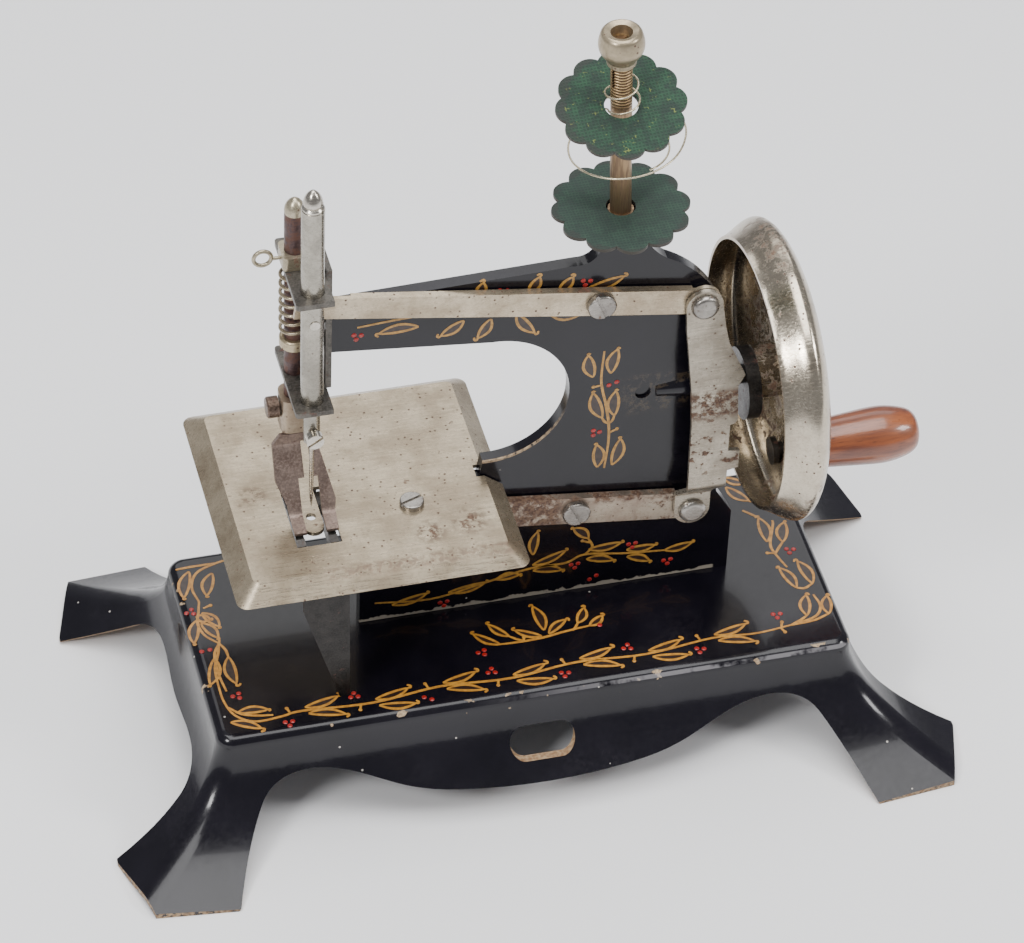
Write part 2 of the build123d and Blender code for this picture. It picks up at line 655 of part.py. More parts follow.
with BuildPart() as lower_lever:
    with BuildSketch(front_plane(LEVER_FRONT, LOWER_PIVOT, LOWER_SLOPE)):
        Polygon(
            (-LOWER_END + 2.5, -LOWER_HALF + 0.8),
            (-20.0, -LOWER_HALF),
            (LOWER_RIGHT_ARM, -LOWER_HALF),
            (LOWER_RIGHT_ARM, LOWER_HALF),
            (-LOWER_END + 2.5, LOWER_HALF),
            align=None,
        )
        with Locations((-LOWER_END + 3.6, 0.3)):
            Circle(3.5)
        with Locations((LOWER_RIGHT_ARM, 0)):
            Circle(4.0)
            Circle(RIVET_R, mode=Mode.SUBTRACT)
        Circle(PIVOT_R + PLAY, mode=Mode.SUBTRACT)
        with Locations((-36.8, 0)):
            SlotOverall(4.4, 2.6, mode=Mode.SUBTRACT)
    extrude(amount=-SHEET)
    with BuildSketch(front_plane(LEVER_BACK, LOWER_PIVOT, LOWER_SLOPE)):
        with Locations((-5.0, LOWER_HALF - FLANGE_T / 2)):
            Rectangle(56.0, FLANGE_T)
    extrude(amount=LEVER_BACK - LEVER_FLANGE_BACK)
lower_lever.part.label = "lower_lever"
export_step(lower_lever.part, "parts/lower_lever.step")

with BuildPart() as upper_rivet:
    with BuildSketch(front_plane(LEVER_BACK, UPPER_RIVET)):
        Circle(RIVET_R)
    extrude(amount=LEVER_BACK - LINK_FRONT + 0.2)
    with BuildSketch(front_plane(LINK_FRONT - 0.1, UPPER_RIVET)):
        Circle(RIVET_HEAD_R)
    extrude(amount=1.3)
    fillet(upper_rivet.faces().sort_by(Axis.Y)[0].edges(), 1.1)
    with BuildSketch(front_plane(LEVER_BACK, UPPER_RIVET)):
        Circle(2.8)
    extrude(amount=-0.6)
upper_rivet.part.label = "upper_rivet"
export_step(upper_rivet.part, "parts/upper_rivet.step")

with BuildPart() as lower_rivet:
    with BuildSketch(front_plane(LEVER_BACK, LOWER_RIVET)):
        Circle(RIVET_R)
    extrude(amount=LEVER_BACK - LINK_FRONT + 0.2)
    with BuildSketch(front_plane(LINK_FRONT - 0.1, LOWER_RIVET)):
        Circle(RIVET_HEAD_R)
    extrude(amount=1.3)
    fillet(lower_rivet.faces().sort_by(Axis.Y)[0].edges(), 1.1)
    with BuildSketch(front_plane(LEVER_BACK, LOWER_RIVET)):
        Circle(2.8)
    extrude(amount=-0.6)
lower_rivet.part.label = "lower_rivet"
export_step(lower_rivet.part, "parts/lower_rivet.step")

# ---------------------------------------------------------------- connecting link
EYE_R = 4.1
PRONG_RIGHT = 49.8
LINK_MID = (LINK_FRONT + LINK_BACK) / 2

with BuildPart() as connecting_link:
    with BuildSketch(Plane.YZ.offset(30.0)):
        with BuildLine():
            FilletPolyline(
                (LINK_MID, 116.5),
                (LINK_MID, 105.0),
                (LINK_MID - 3.2, 90.0),
                (LINK_MID - 3.2, 60.0),
                (LINK_MID, 56.4),
                (LINK_MID, 46.0),
                radius=2.0,
            )
        trace(line_width=SHEET)
    extrude(amount=24.0)
    with BuildSketch(front_plane(0.0)):
        with BuildLine():
            Polyline(
                (UPPER_RIVET[0] - EYE_R, UPPER_RIVET[1]),
                (38.2, 80.0),
                (38.5, 59.0),
                (LOWER_RIVET[0] - EYE_R, 56.0),
                (LOWER_RIVET[0] - EYE_R, LOWER_RIVET[1]),
                (LOWER_RIVET[0] + EYE_R, LOWER_RIVET[1]),
                (LOWER_RIVET[0] + EYE_R, 55.5),
                (47.2, 59.0),
                (47.3, 64.6),
                (PRONG_RIGHT, 65.2),
                (PRONG_RIGHT, 70.2),
                (47.1, 70.6),
                (47.1, 78.4),
                (48.2, 78.7),
                (48.8, 79.9),
                (48.2, 89.9),
                (PRONG_RIGHT, 92.4),
                (46.2, 100.6),
                (45.4, 104.6),
                (UPPER_RIVET[0] + EYE_R, UPPER_RIVET[1]),
                close=True,
            )
        make_face()
        with Locations(UPPER_RIVET, LOWER_RIVET):
            Circle(EYE_R)
    extrude(amount=10.0, mode=Mode.INTERSECT)
    with BuildSketch(front_plane(LINK_FRONT - 1)):
        with Locations(UPPER_RIVET):
            Circle(RIVET_R + PLAY)
        with Locations(LOWER_RIVET):
            Circle(RIVET_R + OPEN_PIVOT_PLAY)
    extrude(amount=-3.0, mode=Mode.SUBTRACT)
connecting_link.part.label = "connecting_link"
export_step(connecting_link.part, "parts/connecting_link.step")

# ---------------------------------------------------------------- handwheel and drive
AXLE_LEFT = BUSH_LEFT + 0.4
HUB_R = 6.0
HUB_RIGHT = 66.8
PIN_COLLAR_LEFT = 60.0  # inner collar, inside the dished face
PIN_COLLAR_RIGHT = 66.5  # outer collar, against its bulge
COLLAR_T = 1.3
PIN_RIGHT = 90.5
HANDLE_LEFT = PIN_COLLAR_RIGHT + 0.3
HANDLE_RIGHT = 94.2
NUT_RIGHT = HUB_RIGHT + 1.8

with BuildPart() as axle:
    with Locations(Location(((AXLE_LEFT + NUT_RIGHT + 0.6) / 2, ARM_MID_Y, AXLE_Z), (0, 90, 0))):
        Cylinder(AXLE_R, NUT_RIGHT + 0.6 - AXLE_LEFT)
    chamfer(axle.edges().group_by(Axis.X)[-1], 0.5)
axle.part.label = "axle"
export_step(axle.part, "parts/axle.step")

with BuildPart() as drive_cam:
    with BuildSketch(Plane.YZ.offset(CAM_LEFT)):
        with Locations((ARM_MID_Y, AXLE_Z - CAM_THROW)):
            Circle(CAM_R)
        with Locations((ARM_MID_Y, AXLE_Z)):
            Circle(AXLE_R, mode=Mode.SUBTRACT)
    extrude(amount=CAM_RIGHT - CAM_LEFT)
drive_cam.part.label = "drive_cam"
export_step(drive_cam.part, "parts/drive_cam.step")

with BuildPart() as handwheel:
    with BuildSketch(front_plane(ARM_MID_Y, (0, AXLE_Z))):
        with BuildLine():
            # the rim swells outward from the mouth and turns into a face that bulges at the hub
            Spline(
                (WHEEL_LEFT, WHEEL_MOUTH_R + WHEEL_LIP),
                (56.2, 32.7),
                (59.6, 33.9),
                (62.3, 31.0),
                (64.0, 24.7),
                (65.3, 17.0),
                (66.0, 8.0),
            )
            Polyline(
                (66.0, 8.0),
                (66.0, HUB_R),
                (HUB_RIGHT, HUB_R),
                (HUB_RIGHT, AXLE_R),
                (CAM_RIGHT, AXLE_R),
                (CAM_RIGHT, HUB_R),
                (64.5, HUB_R),
                (64.5, 8.0),
            )
            Spline(
                (64.5, 8.0),
                (63.9, 16.8),
                (62.6, 24.4),
                (61.0, 29.9),
                (59.3, 32.3),
                (56.3, 31.7),
                (WHEEL_LEFT, WHEEL_MOUTH_R),
            )
            Line((WHEEL_LEFT, WHEEL_MOUTH_R), (WHEEL_LEFT, WHEEL_MOUTH_R + WHEEL_LIP))
        make_face()
    revolve(axis=Axis((0, ARM_MID_Y, AXLE_Z), (1, 0, 0)))
    # hole for the handle's pin
    with BuildSketch(Plane.YZ.offset(PIN_COLLAR_LEFT)):
        with Locations((ARM_MID_Y, HANDLE_Z)):
            Circle(HANDLE_PIN_R)
    extrude(amount=PIN_COLLAR_RIGHT - PIN_COLLAR_LEFT, mode=Mode.SUBTRACT)
handwheel.part.label = "handwheel"
export_step(handwheel.part, "parts/handwheel.step")

with BuildPart() as axle_nut:
    with BuildSketch(Plane.YZ.offset(HUB_RIGHT)):
        with Locations((ARM_MID_Y, AXLE_Z)):
            RegularPolygon(4.0, 6)
            Circle(AXLE_R, mode=Mode.SUBTRACT)
    extrude(amount=NUT_RIGHT - HUB_RIGHT)
axle_nut.part.label = "axle_nut"
export_step(axle_nut.part, "parts/axle_nut.step")


with BuildPart() as handle_pin:
    with BuildSketch(Plane.YZ.offset(PIN_COLLAR_LEFT)):
        with Locations((ARM_MID_Y, HANDLE_Z)):
            Circle(3.2)
    extrude(amount=COLLAR_T)
    with BuildSketch(Plane.YZ.offset(PIN_COLLAR_LEFT)):
        with Locations((ARM_MID_Y, HANDLE_Z)):
            Circle(HANDLE_PIN_R)
    extrude(amount=PIN_RIGHT - PIN_COLLAR_LEFT)
    with BuildSketch(Plane.YZ.offset(PIN_COLLAR_RIGHT)):
        with Locations((ARM_MID_Y, HANDLE_Z)):
            Circle(3.6)
    extrude(amount=-COLLAR_T)
handle_pin.part.label = "handle_pin"
export_step(handle_pin.part, "parts/handle_pin.step")

with BuildPart() as wood_handle:
    with BuildSketch(front_plane(ARM_MID_Y, (0, HANDLE_Z))):
        with BuildLine():
            Polyline((HANDLE_LEFT, 0), (HANDLE_LEFT, 4.7), (HANDLE_LEFT + 0.4, 5.1))
            Spline(
                (HANDLE_LEFT + 0.4, 5.1),
                (74.0, 5.7),
                (81.0, 6.3),
                (86.4, 6.5),
                (90.8, 5.7),
                (93.2, 4.6),
                (HANDLE_RIGHT, 3.2),
            )
            Polyline((HANDLE_RIGHT, 3.2), (HANDLE_RIGHT, 0), (HANDLE_LEFT, 0))
        make_face()
    revolve(axis=Axis((0, ARM_MID_Y, HANDLE_Z), (1, 0, 0)))
    with BuildSketch(Plane.YZ.offset(HANDLE_LEFT)):
        with Locations((ARM_MID_Y, HANDLE_Z)):
            Circle(HANDLE_PIN_R + PLAY)
    extrude(amount=PIN_RIGHT - HANDLE_LEFT + 0.5, mode=Mode.SUBTRACT)
wood_handle.part.label = "wood_handle"
export_step(wood_handle.part, "parts/wood_handle.step")

# ---------------------------------------------------------------- cloth plate and what holds it
PLATE_SCREW_AT = (-24.5, -5.7)
PLATE_SCREW_R = 1.5
BRACKET_Z = PLATE_TOP - SHEET - 1.2
LEG_Y = -20.8
LEG_FOOT_X = -43.8

with BuildPart() as cloth_plate:
    for drop, lift in ((0.0, 0.0), (SHEET, -SHEET)):
        plate_mode = Mode.ADD if drop == 0 else Mode.SUBTRACT
        with BuildSketch(Plane.XY.offset(PLATE_RIM_Z + lift)) as plate_low:
            with Locations(PLATE_CENTRE):
                RectangleRounded(PLATE_SIZE[0] - 2 * drop, PLATE_SIZE[1] - 2 * drop, 2.5 - drop)
        with BuildSketch(Plane.XY.offset(PLATE_TOP + lift)) as plate_high:
            with Locations(PLATE_CENTRE):
                RectangleRounded(
                    PLATE_SIZE[0] - 2 * (PLATE_BEVEL + drop * 0.5),
                    PLATE_SIZE[1] - 2 * (PLATE_BEVEL + drop * 0.5),
                    1.5 - drop * 0.5,
                )
        loft(mode=plate_mode)
    # the edge is notched round the column
    with BuildSketch(Plane.XY.offset(PLATE_TOP)):
        with Locations((-4.6, ARM_MID_Y)):
            Rectangle(8.0, ARM_DEPTH + 0.8)
    extrude(amount=-6.0, mode=Mode.SUBTRACT)
    # the feed opening, open at the front round a tongue that carries the needle hole
    with BuildSketch(Plane.XY.offset(PLATE_TOP)):
        with Locations((NEEDLE_X, -5.0)):
            Rectangle(10.0, 18.0)
        with Locations((NEEDLE_X, -1.9)):
            Rectangle(4.4, 12.0, mode=Mode.SUBTRACT)
        with Locations((NEEDLE_X, -7.9)):
            Circle(2.2, mode=Mode.SUBTRACT)
        with Locations((NEEDLE_X, NEEDLE_Y)):
            Circle(1.1)
        with Locations(PLATE_SCREW_AT):
            Circle(PLATE_SCREW_R)
    extrude(amount=-3.0, mode=Mode.SUBTRACT)
cloth_plate.part.label = "cloth_plate"
export_step(cloth_plate.part, "parts/cloth_plate.step")

with BuildPart() as plate_bracket:
    with BuildSketch(Plane.XY.offset(BRACKET_Z)):
        Polygon((-52, -21.4), (-16, -21.4), (-16, 0), (-38, 0), (-38, -15), (-52, -15), align=None)
        with Locations(PLATE_SCREW_AT):
            Circle(PLATE_SCREW_R, mode=Mode.SUBTRACT)
    extrude(amount=1.2)
plate_bracket.part.label = "plate_bracket"
export_step(plate_bracket.part, "parts/plate_bracket.step")

with BuildPart() as plate_screw:
    with BuildSketch(Plane.XY.offset(PLATE_TOP)):
        with Locations(PLATE_SCREW_AT):
            Circle(2.7)
    extrude(amount=1.3)
    fillet(plate_screw.faces().sort_by(Axis.Z)[-1].edges(), 0.4)
    with BuildSketch(Plane.XY.offset(PLATE_TOP)):
        with Locations(PLATE_SCREW_AT):
            Circle(PLATE_SCREW_R)
    extrude(amount=-4.0)
    with BuildSketch(Plane.XY.offset(PLATE_TOP + 0.6)):
        with Locations(Location((PLATE_SCREW_AT[0], PLATE_SCREW_AT[1], 0), (0, 0, 20))):
            Rectangle(5.6, 0.7)
    extrude(amount=1.0, mode=Mode.SUBTRACT)
plate_screw.part.label = "plate_screw"
export_step(plate_screw.part, "parts/plate_screw.step")

with BuildPart() as plate_leg:
    with BuildSketch(front_plane(LEG_Y - 0.6)):
        Polygon(
            (-52.0, BRACKET_Z),
            (-42.0, BRACKET_Z),
            (LEG_FOOT_X + 2.3, BASE_TOP),
            (LEG_FOOT_X, BASE_TOP),
            (-52.0, 55.0),
            align=None,
        )
    extrude(amount=-1.2)
    with BuildSketch(front_plane(LEG_Y + 0.6)):
        Polygon(
            (-43.2, BRACKET_Z),
            (-42.0, BRACKET_Z),
            (LEG_FOOT_X + 2.3, BASE_TOP),
            (LEG_FOOT_X + 1.1, BASE_TOP),
            align=None,
        )
    extrude(amount=-5.2)
plate_leg.part.label = "plate_leg"
export_step(plate_leg.part, "parts/plate_leg.step")

# ---------------------------------------------------------------- looper
LOOPER_FRONT = LEVER_FRONT - 1.4
HOOK_REST = 40.0  # degrees below the horizontal that the hook points, to the left
HOOK_TIP = along(LOOPER_PIVOT, -HOOK_REST, -16.0)

with BuildPart() as looper:
    with BuildSketch(front_plane(LOOPER_FRONT)):
        # hook arm with a pointed, upturned tip
        with BuildLine():
            hook_root = along(LOOPER_PIVOT, -HOOK_REST - 75, -2.6)
            hook_edge = along(LOOPER_PIVOT, -HOOK_REST + 75, -2.6)
            Spline(hook_root, along(LOOPER_PIVOT, -HOOK_REST - 9, -9.5), HOOK_TIP)
            Spline(HOOK_TIP, along(LOOPER_PIVOT, -HOOK_REST + 4, -9.0), hook_edge)
            Line(hook_edge, hook_root)
        make_face()
        with Locations(LOOPER_PIVOT):
            Circle(3.2)
        # tail
        with BuildLine():
            Polyline(
                along(LOOPER_PIVOT, -LOOPER_TAIL_RISE - 90, 2.2),
                along(LOOPER_PIVOT, -LOOPER_TAIL_RISE + 90, 2.2),
                along(LOOPER_PIN, -LOOPER_TAIL_RISE + 90, 1.9),
                along(LOOPER_PIN, -LOOPER_TAIL_RISE - 90, 1.9),
                close=True,
            )
        make_face()
        with Locations(LOOPER_PIN):
            Circle(1.9)
        with Locations(LOOPER_PIVOT):
            Circle(1.5 + PLAY, mode=Mode.SUBTRACT)
    extrude(amount=-SHEET)
    with BuildSketch(front_plane(LOOPER_FRONT + SHEET)):
        with Locations(LOOPER_PIN):
            Circle(1.0)
    extrude(amount=-1.6)
looper.part.label = "looper"
export_step(looper.part, "parts/looper.step")

with BuildPart() as looper_stud:
    with BuildSketch(front_plane(SHEET, LOOPER_PIVOT)):
        Circle(1.5)
    extrude(amount=SHEET - LOOPER_FRONT + 0.1)
    with BuildSketch(front_plane(0.0, LOOPER_PIVOT)):
        Circle(2.6)
    extrude(amount=-LOOPER_FRONT - SHEET - 0.1)
    with BuildSketch(front_plane(LOOPER_FRONT - 0.1, LOOPER_PIVOT)):
        Circle(2.6)
    extrude(amount=1.2)
looper_stud.part.label = "looper_stud"
export_step(looper_stud.part, "parts/looper_stud.step")

# ---------------------------------------------------------------- feed
FEED_LOW = 63.5
FEED_TAIL_X = (-48.0, -45.8)
TOOTH_PITCH = 2.0

with BuildPart() as feed_dog:
    with BuildSketch(Plane.YZ.offset(-51.4)):
        with BuildLine():
            teeth = [(-0.5, FEED_LOW), (-12.5, FEED_LOW)]
            for count in range(6):
                teeth.append((-12.5 + TOOTH_PITCH * count, 66.7))
                teeth.append((-12.5 + TOOTH_PITCH * (count + 0.75), 67.5))
            teeth.append((-0.5, 66.7))
            Polyline(*teeth, close=True)
        make_face()
    extrude(amount=9.0)
    with BuildSketch(Plane.XY.offset(FEED_LOW)):
        with Locations((NEEDLE_X, -6.6)):
            Rectangle(5.4, 12.2)
    extrude(amount=6.0, mode=Mode.SUBTRACT)
    with BuildSketch(Plane.XY.offset(FEED_LOW)):
        with Locations((NEEDLE_X, 1.75)):
            Rectangle(9.0, 4.5)
    extrude(amount=3.0)
    with BuildSketch(Plane.XY.offset(FEED_LOW)):
        with Locations(((FEED_TAIL_X[0] + FEED_TAIL_X[1]) / 2, 7.0)):
            Rectangle(FEED_TAIL_X[1] - FEED_TAIL_X[0], 14.0)
    extrude(amount=1.8)
feed_dog.part.label = "feed_dog"
export_step(feed_dog.part, "parts/feed_dog.step")

with BuildPart() as feed_guide:
    with BuildSketch(Plane.XZ.offset(-12.0)):
        with Locations((NEEDLE_X, (62.0 + PLATE_TOP - SHEET) / 2)):
            Rectangle(8.2, PLATE_TOP - SHEET - 62.0)
        with Locations((NEEDLE_X, FEED_LOW + 0.9)):
            Rectangle(FEED_TAIL_X[1] - FEED_TAIL_X[0] + 0.2, 2.0, mode=Mode.SUBTRACT)
    extrude(amount=4.0)
feed_guide.part.label = "feed_guide"
export_step(feed_guide.part, "parts/feed_guide.step")

# ---------------------------------------------------------------- thread tension
SPIGOT = 3.8
SPLIT_FROM = 34.5  # up the post
SHOULDER = 0.5
lean = radians(POST_LEAN)
# the post's own frame, with local z up the post
TOWER = Plane((POST_X, ARM_MID_Y, POST_FOOT_Z), (cos(lean), 0, sin(lean)), (-sin(lean), 0, cos(lean)))

with BuildPart() as tension_post:
    with BuildSketch(Plane.XY.offset(POST_FOOT_Z)):
        with Locations((POST_X, ARM_MID_Y)):
            Circle(1.5)
    extrude(amount=-SPIGOT)
    with BuildSketch(Plane.XY.offset(POST_FOOT_Z)):
        with Locations((POST_X, ARM_MID_Y)):
            Circle(POST_R + 0.5)
    extrude(amount=SHOULDER)
    with BuildSketch(TOWER.offset(SHOULDER / 2)):
        Circle(POST_R)
    extrude(amount=POST_HEIGHT - SHOULDER / 2)
    chamfer(tension_post.faces().sort_by(Axis.Z)[-1].edges(), 0.4)
    # the upper part is split for the thread
    with BuildSketch(TOWER.offset(SPLIT_FROM)):
        Rectangle(2 * POST_R + 1, 0.7, rotation=28)
    extrude(amount=POST_HEIGHT - SPLIT_FROM + 1, mode=Mode.SUBTRACT)
tension_post.part.label = "tension_post"
export_step(tension_post.part, "parts/tension_post.step")

with BuildPart() as lower_disc:
    with BuildSketch(Plane.XY.offset(LOWER_DISC_Z)):
        with Locations((POST_X, ARM_MID_Y)):
            Circle(LOWER_DISC_R - PETAL_R)
            with PolarLocations(LOWER_DISC_R - PETAL_R, PETALS, start_angle=-4):
                Circle(PETAL_R)
            Circle(3.2, mode=Mode.SUBTRACT)
    extrude(amount=DISC_T)
lower_disc.part.label = "lower_disc"
export_step(lower_disc.part, "parts/lower_disc.step")

tilt = radians(UPPER_DISC_TILT)
facing = radians(UPPER_DISC_FACING)
DISC_PLANE = Plane(
    origin=TOWER.from_local_coords((0, 0, UPPER_DISC_HEIGHT)),
    x_dir=(cos(facing), -sin(facing), 0),
    z_dir=(-sin(facing) * sin(tilt), -cos(facing) * sin(tilt), cos(tilt)),
)

with BuildPart() as upper_disc:
    with BuildSketch(DISC_PLANE.offset(-DISC_T / 2)):
        Circle(UPPER_DISC_R - PETAL_R)
        with PolarLocations(UPPER_DISC_R - PETAL_R, PETALS, start_angle=10):
            Circle(PETAL_R)
        Circle(UPPER_DISC_HOLE_R, mode=Mode.SUBTRACT)
    extrude(amount=DISC_T)
upper_disc.part.label = "upper_disc"
export_step(upper_disc.part, "parts/upper_disc.step")

# the spring circles the post twice, passes through the upper disc and spreads below it;
# quarter turns, clockwise from the back, as (radius, height up the post)
SPRING_WIRE = 0.22
COIL = (
    (3.4, 35.0),
    (3.5, 34.7),
    (3.6, 33.6),
    (3.4, 32.3),
    (3.6, 31.3),
    (3.9, 30.4),
    (3.8, 29.6),
    (2.95, 28.2),
    (8.0, 24.6),
    (13.6, 21.2),
    (12.9, 19.8),
    (11.2, 17.4),
    (10.5, 16.7),
    (10.2, 17.0),
    (9.8, 18.0),
)

with BuildPart() as tension_spring:
    with BuildLine():
        coil_points = []
        for quarter in range(len(COIL) - 1):
            for step in range(4):
                turn = (quarter + step / 4) / 4
                radius = COIL[quarter][0] + (COIL[quarter + 1][0] - COIL[quarter][0]) * step / 4
                height = COIL[quarter][1] + (COIL[quarter + 1][1] - COIL[quarter][1]) * step / 4
                angle = radians(90 - 360 * turn)
                point = (radius * cos(angle), radius * sin(angle), height)
                coil_points.append(TOWER.from_local_coords(point))
        spring_line = Spline(*coil_points)
    with BuildSketch(Plane(origin=spring_line @ 0, z_dir=spring_line % 0)):
        Circle(SPRING_WIRE)
    sweep()
tension_spring.part.label = "tension_spring"
export_step(tension_spring.part, "parts/tension_spring.step")

with BuildPart() as tension_nut:
    with BuildSketch(Plane(TOWER.from_local_coords((0, 0, NUT_HEIGHT)), TOWER.x_dir, (0, -1, 0))):
        with BuildLine():
            Polyline((POST_R + PLAY, 8.0), (POST_R + PLAY, 0), (3.1, 0), (3.2, 1.0))
            Spline(
                (3.2, 1.0),
                (4.5, 3.2),
                (4.9, 5.0),
                (4.6, 6.9),
                (3.5, 8.4),
                tangents=((0.3, 1), (-1, 0.3)),
            )
            Line((3.5, 8.4), (POST_R + PLAY, 8.0))
        make_face()
    revolve(axis=Axis(TOWER.origin, TOWER.z_dir))
tension_nut.part.label = "tension_nut"
export_step(tension_nut.part, "parts/tension_nut.step")
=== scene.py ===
import json
import math
import bpy
from mathutils import Matrix, Vector


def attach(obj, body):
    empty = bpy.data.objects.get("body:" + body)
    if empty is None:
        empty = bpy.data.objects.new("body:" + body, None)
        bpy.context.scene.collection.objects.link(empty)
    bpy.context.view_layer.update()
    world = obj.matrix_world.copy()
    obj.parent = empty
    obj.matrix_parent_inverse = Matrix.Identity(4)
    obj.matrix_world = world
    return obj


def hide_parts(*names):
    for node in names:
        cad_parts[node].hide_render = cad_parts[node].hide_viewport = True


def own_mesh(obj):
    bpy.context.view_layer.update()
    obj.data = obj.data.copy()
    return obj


# Looks of the toy sewing machine: materials with their wear, and the painted vines and berries.
# Everything is in metres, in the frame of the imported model.

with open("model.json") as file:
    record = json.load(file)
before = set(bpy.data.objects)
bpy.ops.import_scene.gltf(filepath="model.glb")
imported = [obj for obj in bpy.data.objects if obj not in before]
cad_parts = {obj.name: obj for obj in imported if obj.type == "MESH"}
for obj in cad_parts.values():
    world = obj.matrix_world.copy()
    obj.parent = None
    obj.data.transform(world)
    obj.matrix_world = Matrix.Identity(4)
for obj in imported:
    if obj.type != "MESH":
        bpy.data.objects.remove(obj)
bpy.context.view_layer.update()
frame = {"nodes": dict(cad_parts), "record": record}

BASE_TOP = 0.0275  # the plateau of the base
AXLE = Vector((0.06, 0.0015, 0.0855))
POST_X = 0.0213


# ------------------------------------------------------------------ materials
class Shade:
    """A node material under construction: every method adds one node and returns its output."""

    def __init__(self, name, **settings):
        self.material = bpy.data.materials.new(name)
        self.material.use_nodes = True
        self.tree = self.material.node_tree
        self.shader = self.tree.nodes["Principled BSDF"]
        for socket, value in settings.items():
            self.shader.inputs[socket.replace("_", " ")].default_value = value
        self.place = self.tree.nodes.new("ShaderNodeTexCoord").outputs["Object"]

    def _node(self, kind, **inputs):
        node = self.tree.nodes.new(kind)
        for socket, value in inputs.items():
            self._feed(node.inputs[socket], value)
        return node

    def _feed(self, socket, value):
        if isinstance(value, bpy.types.NodeSocket):
            self.tree.links.new(value, socket)
        else:
            socket.default_value = value

    def noise(self, scale, detail=4.0, roughness=0.6, place=None, distortion=0.0):
        node = self._node("ShaderNodeTexNoise", Vector=place or self.place, Scale=scale, Detail=detail)
        node.inputs["Roughness"].default_value = roughness
        node.inputs["Distortion"].default_value = distortion
        return node.outputs["Fac"]

    def cells(self, scale, place=None):
        node = self._node("ShaderNodeTexVoronoi", Vector=place or self.place, Scale=scale)
        return node.outputs["Distance"]

    def waves(self, scale, direction, place=None, distortion=0.0):
        node = self._node("ShaderNodeTexWave", Vector=place or self.place, Scale=scale)
        node.inputs["Distortion"].default_value = distortion
        node.bands_direction = direction
        return node.outputs["Fac"]

    def stretched(self, x, y, z):
        node = self._node("ShaderNodeMapping", Vector=self.place, Scale=(x, y, z))
        return node.outputs["Vector"]

    def ramp(self, value, low, high, start=0.0, end=1.0):
        node = self._node("ShaderNodeMapRange", Value=value)
        node.interpolation_type = "SMOOTHSTEP"
        node.inputs["From Min"].default_value = low
        node.inputs["From Max"].default_value = high
        node.inputs["To Min"].default_value = start
        node.inputs["To Max"].default_value = end
        return node.outputs["Result"]

    def sum(self, operation, first, second):
        node = self.tree.nodes.new("ShaderNodeMath")
        node.operation = operation
        node.use_clamp = operation in ("ADD", "MULTIPLY")
        self._feed(node.inputs[0], first)
        self._feed(node.inputs[1], second)
        return node.outputs[0]

    def both(self, *masks):
        result = masks[0]
        for mask in masks[1:]:
            result = self.sum("MULTIPLY", result, mask)
        return result

    def either(self, *masks):
        result = masks[0]
        for mask in masks[1:]:
            result = self.sum("MAXIMUM", result, mask)
        return result

    def axis(self, letter, vector=None):
        node = self._node("ShaderNodeSeparateXYZ", Vector=vector or self.place)
        return node.outputs[letter]

    def normal(self):
        return self.tree.nodes.new("ShaderNodeNewGeometry").outputs["True Normal"]

    def distance(self, point, ignore=""):
        """How far the surface is from a point, or from a line through it along the ignored axis."""
        node = self.tree.nodes.new("ShaderNodeVectorMath")
        node.operation = "DISTANCE"
        scale = [0.0 if letter in ignore else 1.0 for letter in "XYZ"]
        self._feed(node.inputs[0], self.stretched(*scale))
        self._feed(node.inputs[1], tuple(a * b for a, b in zip(point, scale)))
        return node.outputs["Value"]

    def between(self, value, low, high, soft):
        """1 from low to high, falling to 0 over a soft margin on both sides."""
        return self.both(self.ramp(value, low - soft, low), self.ramp(value, high, high + soft, 1.0, 0.0))

    def mix(self, mask, first, second):
        node = self.tree.nodes.new("ShaderNodeMix")
        node.data_type = "RGBA"
        self._feed(node.inputs[0], mask)
        self._feed(node.inputs[6], first if isinstance(first, bpy.types.NodeSocket) else (*first, 1))
        self._feed(node.inputs[7], second if isinstance(second, bpy.types.NodeSocket) else (*second, 1))
        return node.outputs[2]

    def finish(self, colour, roughness=None, metallic=None, height=None, depth=0.0001, strength=0.6):
        self._feed(self.shader.inputs["Base Color"], colour)
        if roughness is not None:
            self._feed(self.shader.inputs["Roughness"], roughness)
        if metallic is not None:
            self._feed(self.shader.inputs["Metallic"], metallic)
        if height is not None:
            bump = self._node("ShaderNodeBump", Height=height, Distance=depth, Strength=strength)
            self.tree.links.new(bump.outputs["Normal"], self.shader.inputs["Normal"])
        return self.material


